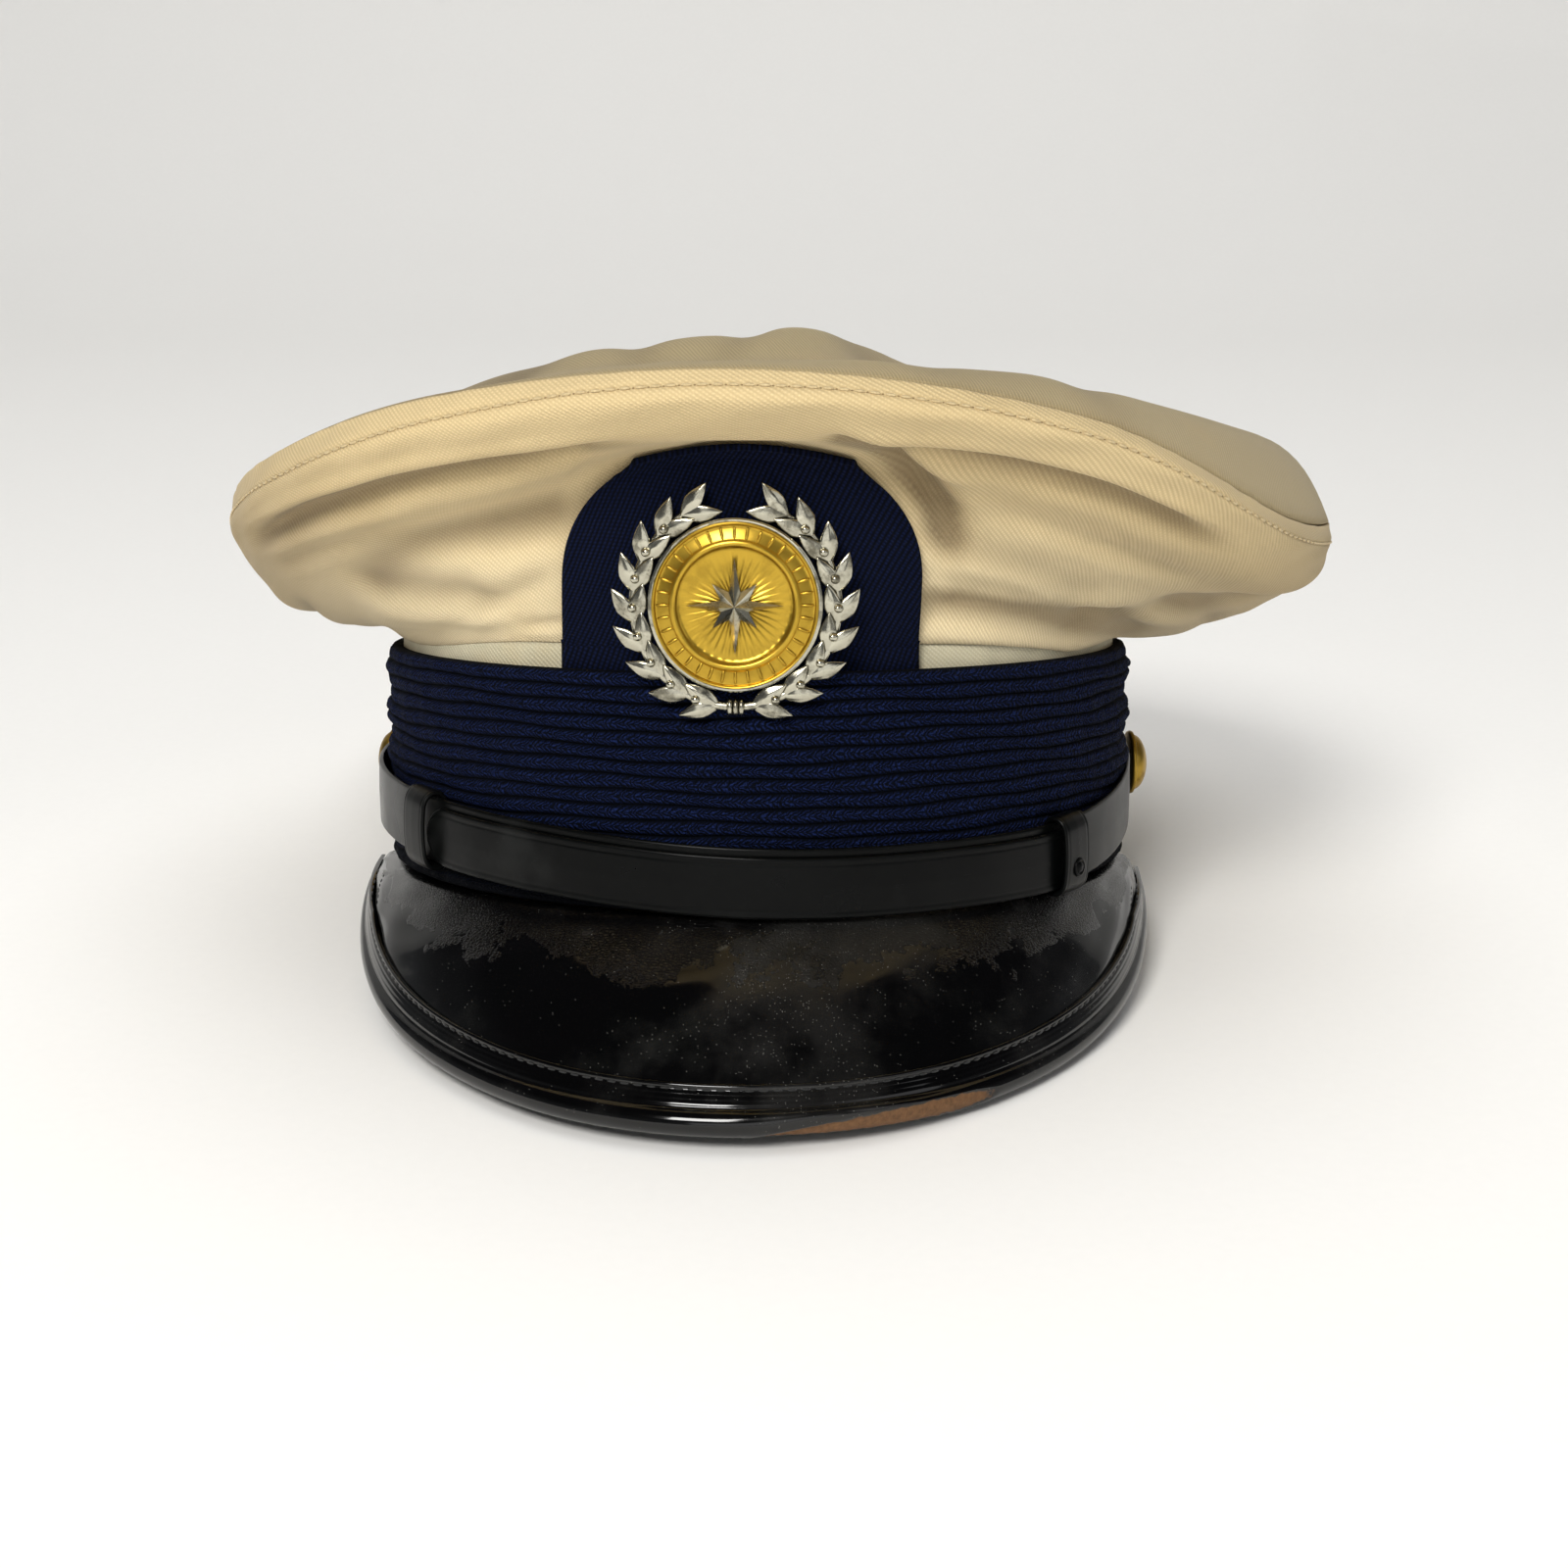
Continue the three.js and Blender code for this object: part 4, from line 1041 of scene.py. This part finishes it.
def strapDirections(angle):
    along = unit(strapMiddle(angle + 0.01) - strapMiddle(angle - 0.01))
    out = unit(points(along[..., 1], -along[..., 0], 0))
    up = unit(np.cross(along, out))
    up = up * np.sign(up[..., 2:3])
    turn = np.radians(strap["lean"]) * smooth(1 - np.abs(np.degrees(angle)) / 95)
    cos, sin = np.cos(turn)[..., None], np.sin(turn)[..., None]
    return along, up * cos + np.cross(along, up) * sin, out * cos + np.cross(along, out) * sin


# One layer of strap between two angles in degrees, with rounded ends and a creased line inside each edge.
def layStrap(ends, width, lowest, highest, shift, creased):
    half = width / 2
    sweep = ends[1] - ends[0]
    edge = [(0, lowest + 0.2), (0, highest - 0.35), (0.12, highest - 0.12), (0.4, highest), (1.25, highest)]
    edge += [(1.5, highest - 0.14 * creased), (1.75, highest)]
    left = [(inwards - half, out) for inwards, out in edge]
    right = [(-across, out) for across, out in reversed(left)]
    section = Section([*left, (0, highest + 0.12), *right, (half - 0.2, lowest), (0.2 - half, lowest)])

    def place(u, v):
        angle = np.radians(ends[0] + sweep * u)
        across, out = section.at(v)
        fromEnd = np.minimum(u, 1 - u) * np.radians(sweep) * head["halfWidth"]
        fromTip = 1 - np.clip(fromEnd / half, 0, 1)
        across = across * np.maximum(np.sqrt(1 - fromTip**2), 0.3) + shift
        out = out + creased * (0.15 * np.sin(angle * 9) + 0.06 * np.sin(angle * 33))
        up, outDirection = strapDirections(angle)[1:]
        return strapMiddle(angle) + up * across[..., None] + outDirection * out[..., None]

    def clothMap(u, v):
        return (ends[0] + sweep * u) * strap["mapScale"], section.at(v)[0]

    return layGrid(300, 90, place, clothMap, closeAlong=True, caps=True)


def makeStraps(material):
    half = strap["thickness"] / 2
    back = layStrap(strap["ends"], strap["width"], -half, -0.05, 0, creased=False)
    finishPiece("chin_strap_back", back, material, ["chin_strap"])
    width = strap["width"] - frontStrap["narrower"]
    front = layStrap(frontStrap["ends"], width, 0.02, half, frontStrap["shift"], creased=True)
    finishPiece("chin_strap_front", front, material)


# The keepers: a loop of strap leather bent round the strap, its outer face a little proud.
keeper = {"length": 10.0, "wall": 1.0, "slack": 0.6, "corner": 2.8, "angle": 50.0, "fullness": 0.7}


def makeKeeper(name, node, degrees, material):
    angle = np.array([math.radians(degrees)])
    middle = strapMiddle(angle)[0]
    ahead, up, out = (direction[0] for direction in strapDirections(angle))
    w, t = strap["width"] / 2 + keeper["slack"], strap["thickness"] / 2 + keeper["slack"]
    c = keeper["corner"]
    arcs = []
    for i, (sideU, sideO) in enumerate(((1, 1), (1, -1), (-1, -1), (-1, 1))):
        for turn in np.radians(np.linspace(90 - 90 * i, -90 * i, 8)):
            cos, sin = math.cos(turn), math.sin(turn)
            arcs.append((sideU * (w - c) + c * cos, sideO * (t - c / 2) + c / 2 * sin, cos, sin))
    loop = Section(arcs)
    wall, end = keeper["wall"], keeper["length"] / 2
    lip = [(0, 0.25), (0.25, 0), (wall - 0.25, 0), (wall, 0.25), (wall - 0.12, 0.9), (wall, 1.3)]
    first = [(grow, along - end) for grow, along in lip]
    edge = Section([*first, (wall + 0.08, 0), *((grow, -along) for grow, along in reversed(first))])

    def place(u, v):
        acrossU, acrossO, towardsU, towardsO = loop.at(u)
        grow, walked = edge.at(v)
        flare = 0.5 * smooth(acrossO, 0, t) * (0.5 + walked / keeper["length"] * np.sign(-degrees))
        spread = np.hypot(towardsU, towardsO)
        inU = acrossU + grow * towardsU / spread
        full = keeper["fullness"] * np.maximum(1 - (acrossU / w) ** 2, 0) * smooth(acrossO, 0, t)
        inO = acrossO + grow * towardsO / spread + flare + full
        return middle + np.outer(inU, up) + np.outer(inO, out) + np.outer(walked, ahead)

    def clothMap(u, v):
        return u * loop.lengths[-1], edge.at(v)[1]

    bm = layGrid(110, 60, place, clothMap, closeAcross=True, closeAlong=True)
    return finishPiece(name, bm, material, [node], sharpOver=60)


# A turned piece: a profile of radius and height, spun round its axis.
def spinProfile(profile, steps=48):
    bm = bmesh.new()
    corners = [bm.verts.new((radius, 0, z)) for radius, z in profile]
    edges = [bm.edges.new(pair) for pair in zip(corners, corners[1:])]
    turn = {"cent": (0, 0, 0), "axis": (0, 0, 1), "angle": 2 * math.pi}
    bmesh.ops.spin(bm, geom=corners + edges, steps=steps, use_merge=True, **turn)
    bmesh.ops.remove_doubles(bm, verts=bm.verts, dist=0.001)
    bmesh.ops.recalc_face_normals(bm, faces=bm.faces)
    return bm


button = {"radius": 7.6, "angle": 96.0}
rivet = {"radius": 2.0, "below": 2.6}


def strapSeat(degrees, off, below=0.0):
    angle = np.array([math.radians(degrees)])
    along, up, out = (Vector(direction[0]) for direction in strapDirections(angle))
    place = Vector(strapMiddle(angle)[0]) - up * below + out * off
    return placed(place, along, out)


def makeButton(name, node, degrees, material):
    r = button["radius"]
    profile = [(0, 0), (r - 0.7, 0), (r - 0.2, 0.25), (r, 0.75), (r - 0.15, 1.2), (r - 0.55, 1.35)]
    profile += [(r - 0.8, 1.3)]
    dome = np.radians(np.linspace(8, 90, 14))
    profile += [((r - 0.9) * math.cos(a), 1.25 + 3.4 * math.sin(a)) for a in dome]
    bm = spinProfile(profile)
    bmesh.ops.transform(bm, matrix=strapSeat(degrees, strap["thickness"] / 2 + 0.3), verts=bm.verts)
    return finishPiece(name, bm, material, [node])


def makeRivet(material):
    r = rivet["radius"]
    profile = [(0, 0), (r, 0), (r + 0.1, 0.2), (r, 0.5), (r - 0.35, 0.62), (r - 0.6, 0.4), (r - 0.8, 0.36)]
    profile += [(r - 1.0, 0.62), (r - 1.4, 0.84), (0, 0.9)]
    bm = spinProfile(profile, 28)
    off = strap["thickness"] / 2 + keeper["slack"] + keeper["wall"] + 0.8
    bmesh.ops.transform(bm, matrix=strapSeat(keeper["angle"], off, rivet["below"]), verts=bm.verts)
    return finishPiece("keeper_rivet_head", bm, material, ["keeper_rivet"])


# The badge stands on a post in front of the tab, and its pieces bend a little round the front.
badge = {"z": 62.0, "y": -102.5, "lean": 4.8, "bendRadius": 125.0}
badgeTurn = Matrix.Rotation(math.radians(90 + badge["lean"]), 4, "X")
badgePlace = Matrix.Translation((0, badge["y"], badge["z"])) @ badgeTurn


def setOnBadge(bm):
    for vertex in bm.verts:
        vertex.co.z -= vertex.co.x**2 / (2 * badge["bendRadius"])
    bmesh.ops.transform(bm, matrix=badgePlace, verts=bm.verts)
    return bm


disc = {
    "radius": 17.2,
    "inner": 12.2,  # the ring between its two circles of petals
    "post": 1.5,
    "foot": -2.6,
    "back": 1.6,
    "field": 2.7,
    "rim": 3.4,
    "rays": 40,
    "petals": 36,
}


def makeDisc(material, silver):
    r, back, field, high, inner = (disc[key] for key in ("radius", "back", "field", "rim", "inner"))
    backing = [(0, back), (r - 0.5, back), (r, back + 0.3), (r, field), (r - 0.3, field + 0.25)]
    backing += [(r - 0.7, field + 0.2), (r - 0.9, back + 0.5), (0, back + 0.5)]
    plate = setOnBadge(spinProfile(backing, 96))
    finishPiece("badge_back_plate", plate, silver)

    profile = [(0, disc["foot"]), (disc["post"], disc["foot"]), (disc["post"], 2.15), (r - 1.0, 2.15)]
    profile += [(r - 0.75, 2.5), (r - 0.75, high - 0.15), (r - 1.0, high), (r - 1.25, high - 0.1)]
    profile += [(r - 1.5, field), (r - 1.9, field - 0.1), (r - 2.1, field)]
    profile += [(inner + 1.0, field), (inner + 0.7, field + 0.35), (inner + 0.4, high - 0.05), (inner, high)]
    profile += [(inner - 0.35, high - 0.1), (inner - 0.6, field + 0.2), (inner - 0.9, field - 0.2)]
    profile += [(inner - 1.5, field - 0.45), (7.5, field - 0.5), (4.0, field - 0.2), (0, field)]
    bm = spinProfile(profile, 160)
    for vertex in bm.verts:
        x, y, z = vertex.co
        reach = math.hypot(x, y)
        if z > 2.2 and reach < inner - 1.2:
            ray = abs(math.sin(math.atan2(y, x) * disc["rays"] / 2))
            vertex.co.z += 0.22 * ray * math.sin(reach / inner * math.pi)
    finishPiece("badge_gilt_disc", setOnBadge(bm), material, ["badge_disc"], sharpOver=50)

    petal = bmesh.new()
    bmesh.ops.create_uvsphere(petal, u_segments=10, v_segments=8, radius=1)
    bmesh.ops.scale(petal, vec=(1.35, 0.34, 0.34), verts=petal.verts)
    outwards = Matrix.Translation(((r - 1.5 + inner + 0.6) / 2, 0, field + 0.05))
    turns = [2 * math.pi * i / disc["petals"] for i in range(disc["petals"])]
    petals = scatter(petal, [Matrix.Rotation(turn, 4, "Z") @ outwards for turn in turns])
    finishPiece("badge_disc_petals", setOnBadge(petals), material)


star = {"long": 9.6, "short": 6.2, "valley": 2.9, "back": 3.0, "edge": 0.35, "apex": 5.0}


def makeStar(material):
    bm = bmesh.new()
    bmesh.ops.create_circle(bm, cap_ends=True, segments=16, radius=1)
    for i, vertex in enumerate(bm.verts):
        turn = math.atan2(vertex.co.y, vertex.co.x)
        eighth = round(turn / (math.pi / 8))
        reach = star["valley"] if eighth % 2 else star["short"] if eighth % 4 else star["long"]
        vertex.co = (reach * math.cos(turn), reach * math.sin(turn), star["back"])
    raised = bmesh.ops.extrude_face_region(bm, geom=bm.faces[:])
    upper = [item for item in raised["geom"] if isinstance(item, bmesh.types.BMVert)]
    bmesh.ops.translate(bm, vec=(0, 0, star["edge"]), verts=upper)
    cap = [item for item in raised["geom"] if isinstance(item, bmesh.types.BMFace)]
    for vertex in bmesh.ops.poke(bm, faces=cap)["verts"]:
        vertex.co.z = star["apex"]
    bmesh.ops.recalc_face_normals(bm, faces=bm.faces)
    return finishPiece("badge_silver_star", setOnBadge(bm), material, ["badge_star"], sharpOver=15)


wreath = {
    "radius": 20.3,
    "middle": 1.5,
    "stem": 0.95,
    "foot": -92,  # degrees round the disc, where the stem starts
    "from": -80,
    "to": 60,
    "leaves": 9,
    "spread": 24,
    "berry": 0.95,
    "berryLift": 1.4,
}
leaf = {"length": 4.6, "width": 1.75, "thick": 1.1, "lift": 0.3}


# A laurel leaf with a raised midrib, pointed at both ends, lying along X from its foot.
def leafShape():
    bm = bmesh.new()
    bmesh.ops.create_uvsphere(bm, u_segments=16, v_segments=12, radius=1)
    bmesh.ops.rotate(bm, cent=(0, 0, 0), matrix=Matrix.Rotation(math.pi / 2, 3, "Y"), verts=bm.verts)
    for vertex in bm.verts:
        x, y, z = vertex.co
        width = (1 - abs(x) ** 1.6) * 1.05
        side = y / max(math.sqrt(max(1 - x * x, 0)), 1e-3)
        rib = 0.35 * math.exp(-((side / 0.16) ** 2)) if z > 0 else 0
        high = z * 0.75 * (1 - 0.25 * abs(x)) + (rib + 0.3 * side * side) * (1 - abs(x)) - 0.1
        vertex.co = (leaf["length"] * (x + 0.75), leaf["width"] * side * width, leaf["thick"] * high)
    return bm


def stemPoint(turn):
    return Vector((wreath["radius"] * math.cos(turn), wreath["radius"] * math.sin(turn), wreath["middle"]))


def leafPlaces():
    for turn in np.radians(np.linspace(wreath["from"], wreath["to"], wreath["leaves"])):
        for side in (1, -1):
            heading = math.pi / 2 - side * math.radians(wreath["spread"]) + turn
            tilt = Matrix.Rotation(-0.1, 4, "Y") @ Matrix.Rotation(side * 0.15, 4, "X")
            place = stemPoint(turn) + Vector((0, 0, leaf["lift"]))
            yield Matrix.Translation(place) @ Matrix.Rotation(heading, 4, "Z") @ tilt


# The stem: a round wire along its arc, a little thinner towards the tip.
def stemTube():
    first, last = np.radians([wreath["foot"], wreath["to"] + 4])

    def place(u, v):
        turn = first + (last - first) * v
        around = u * 2 * math.pi
        radius = wreath["stem"] * (1.1 - 0.45 * v)
        flat = wreath["radius"] + radius * np.cos(around)
        return points(flat * np.cos(turn), flat * np.sin(turn), wreath["middle"] + radius * np.sin(around))

    return layGrid(12, 48, place, lambda u, v: (u, v), closeAcross=True, caps=True)


def makeWreath(material):
    mirror = Matrix.Scale(-1, 4, (1, 0, 0))
    places = list(leafPlaces())
    bm = scatter(leafShape(), [*places, *(mirror @ place for place in places)])
    scatter(stemTube(), [Matrix(), mirror], bm)
    for turn in np.radians(np.linspace(wreath["from"] + 13, wreath["to"] - 13, wreath["leaves"] - 1)):
        x, y, z = stemPoint(turn)
        for side in (1, -1):
            spot = Matrix.Translation((side * x, y, z + wreath["berryLift"]))
            bmesh.ops.create_uvsphere(bm, u_segments=12, v_segments=8, radius=wreath["berry"], matrix=spot)
    foot = Matrix.Translation((0, -wreath["radius"], wreath["middle"] + 0.2))
    tie = foot @ Matrix.Rotation(math.pi / 2, 4, "Y")
    for i in (-1, 0, 1):
        turned = tie @ Matrix.Translation((0, 0, i * 1.15)) @ Matrix.Diagonal((1.7, 1.9, 0.75, 1))
        bmesh.ops.create_uvsphere(bm, u_segments=20, v_segments=10, radius=1, matrix=turned)
    bmesh.ops.recalc_face_normals(bm, faces=bm.faces)
    setOnBadge(bm)
    return finishPiece("badge_laurel_wreath", bm, material, ["badge_wreath"], sharpOver=60)


# The studio: a pale sweep of paper, soft lights and the camera at the photograph's angle to the cap.
studio = {
    "paper": "#f4f3f0",
    "fibre": "#f1f0ed",
    "sky": (0.13, 0.135, 0.14, 1),
    "zenith": (0.03, 0.03, 0.035, 1),
    "beyond": (0.74, 0.735, 0.72, 1),  # past the paper's edge the background looks as pale
    "aim": (0, 0, 0.08),  # what the lights point at
}
sweep = {"drop": -0.0003, "front": -2.2, "bend": 1.1, "radius": 0.5, "high": 2.4, "half": 2.6}


# Matt paper, rolled: an even pale ground with the faintest tooth.
def makePaper():
    material, add = newMaterial("mattPaper", Roughness=0.95, IOR=1.45)
    tooth = add("TexNoise", add("TexCoord", out="Object"), 400, 3)
    base = add("Mix", tooth, studio["fibre"], studio["paper"], **colours)
    return joinShader(material, {"Base Color": base})


def makeSweep():
    profile = [(sweep["front"], sweep["drop"]), (sweep["bend"], sweep["drop"])]
    for turn in np.radians(np.linspace(9, 90, 10)):
        out, up = sweep["radius"] * math.sin(turn), sweep["radius"] * (1 - math.cos(turn))
        profile.append((sweep["bend"] + out, sweep["drop"] + up))
    profile.append((sweep["bend"] + sweep["radius"], sweep["high"]))
    bm = bmesh.new()
    corners = [bm.verts.new((-sweep["half"], y, z)) for y, z in profile]
    edges = [bm.edges.new(pair) for pair in zip(corners, corners[1:])]
    swept = bmesh.ops.extrude_edge_only(bm, edges=edges)
    moved = [item for item in swept["geom"] if isinstance(item, bmesh.types.BMVert)]
    bmesh.ops.translate(bm, vec=(2 * sweep["half"], 0, 0), verts=moved)
    bmesh.ops.recalc_face_normals(bm, faces=bm.faces)
    paper = addObject("paper_sweep", smoothMesh("paper_sweep", bm, makePaper()))
    return paper


# The soft lights: place, size, watts and tint. The wash falls on the paper alone.
lights = {
    "key_front": [(-0.35, -1.35, 1.2), (0.6, 0.6), 25, (1, 0.985, 0.96)],
    "fill_front": [(0.15, -1.7, 0.3), (1.3, 0.5), 2, (1, 1, 1)],
    "fill_right": [(1.3, -0.9, 0.7), (0.9, 0.9), 2, (1, 1, 1)],
    "paper_wash": [(0, 0.2, 2.3), (3, 3), 36, (1, 1, 1)],
}


def addLight(name, place, size, power, tint):
    light = bpy.data.lights.new(name, "AREA")
    light.shape = "RECTANGLE"
    light.size, light.size_y = size
    light.energy = power
    light.color = tint
    lamp = addObject(name, light)
    lamp.location = place
    lamp.rotation_euler = (Vector(studio["aim"]) - Vector(place)).to_track_quat("-Z", "Y").to_euler()
    return lamp


def lightStudio(paper):
    world = bpy.data.worlds.new("studio")
    world.use_nodes = True
    add = partial(addNode, world.node_tree)
    height = add("SeparateXYZ", add("TexCoord"), out="Z")
    sky = add("Mix", add("MapRange", height, 0.05, 0.6, **eased), studio["sky"], studio["zenith"], **colours)
    shown = add("Mix", add("LightPath", out="Is Camera Ray"), sky, studio["beyond"], **colours)
    world.node_tree.links.new(shown, world.node_tree.nodes["Background"].inputs["Color"])
    bpy.context.scene.world = world
    lamps = {name: addLight(name, *values) for name, values in lights.items()}
    paperOnly = bpy.data.collections.new("paper_only")
    paperOnly.objects.link(paper)
    lamps["paper_wash"].light_linking.receiver_collection = paperOnly
    bpy.context.scene.view_settings.view_transform = "Standard"


view = {"azimuth": 2.06, "elevation": 7.2, "distance": 612.0, "aside": 5.84, "height": 13.4, "lens": 58.93}


def placeCamera():
    camera = bpy.data.cameras.new("photograph_view")
    camera.sensor_width = 36
    camera.sensor_fit = "HORIZONTAL"
    camera.lens = view["lens"]
    azimuth = math.radians(view["azimuth"])
    turn = Matrix.Rotation(azimuth, 4, "Z") @ Matrix.Rotation(math.radians(90 - view["elevation"]), 4, "X")
    target = Vector((math.cos(azimuth) * view["aside"], math.sin(azimuth) * view["aside"], view["height"]))
    place = target + turn.to_3x3() @ Vector((0, 0, view["distance"]))
    eye = addObject("photograph_view", camera)
    eye.matrix_world = Matrix.Translation(capToRow @ place) @ capTurn @ turn
    bpy.context.scene.camera = eye


def dressCap():
    print("materials")
    sideTwill = makeCoverTwill("yellowedCottonTwill", "slant", "belly", "lip")
    topTwill = makeCoverTwill("yellowedTopTwill", "topSlant", "top", "top")
    hemTwill = makeCoverTwill("paleCottonTwill", "slant", "hem", "hem")
    navyTwill = makeNavyTwill()
    braid = makeBraid(band["ribs"], band["height"])
    patentSheet = makePatent("lacqueredPatent", torn=False)
    patentEdge = makePatent("wornPatentEdge", torn=True)
    strapLeather = makeStrapLeather()
    gilt, buttonGilt, silver = (makeMetal(name, *finish) for name, finish in metals.items())
    creamThread, holeShadeThread, blackThread = (makeThread(name, *tones) for name, tones in threads.items())

    print("crown")
    makeBand(braid)
    makeHem(hemTwill)
    makeCrownSide(sideTwill)
    makeCrownTop(topTwill)
    makeTopstitch(creamThread, holeShadeThread)

    print("tab and badge")
    makeTab(navyTwill)
    makeDisc(gilt, silver)
    makeStar(silver)
    makeWreath(silver)

    print("peak")
    makePeak(patentSheet)
    makeBinding(patentEdge)
    makeEdgeStitches(blackThread)

    print("strap")
    makeStraps(strapLeather)
    makeKeeper("keeper_loop_left", "keeper_left", -keeper["angle"], strapLeather)
    makeKeeper("keeper_loop_right", "keeper_right", keeper["angle"], strapLeather)
    makeRivet(strapLeather)
    makeButton("gilt_button_left", "button_left", -button["angle"], buttonGilt)
    makeButton("gilt_button_right", "button_right", button["angle"], buttonGilt)


placeCamera()
dressCap()
print("studio")
lightStudio(makeSweep())
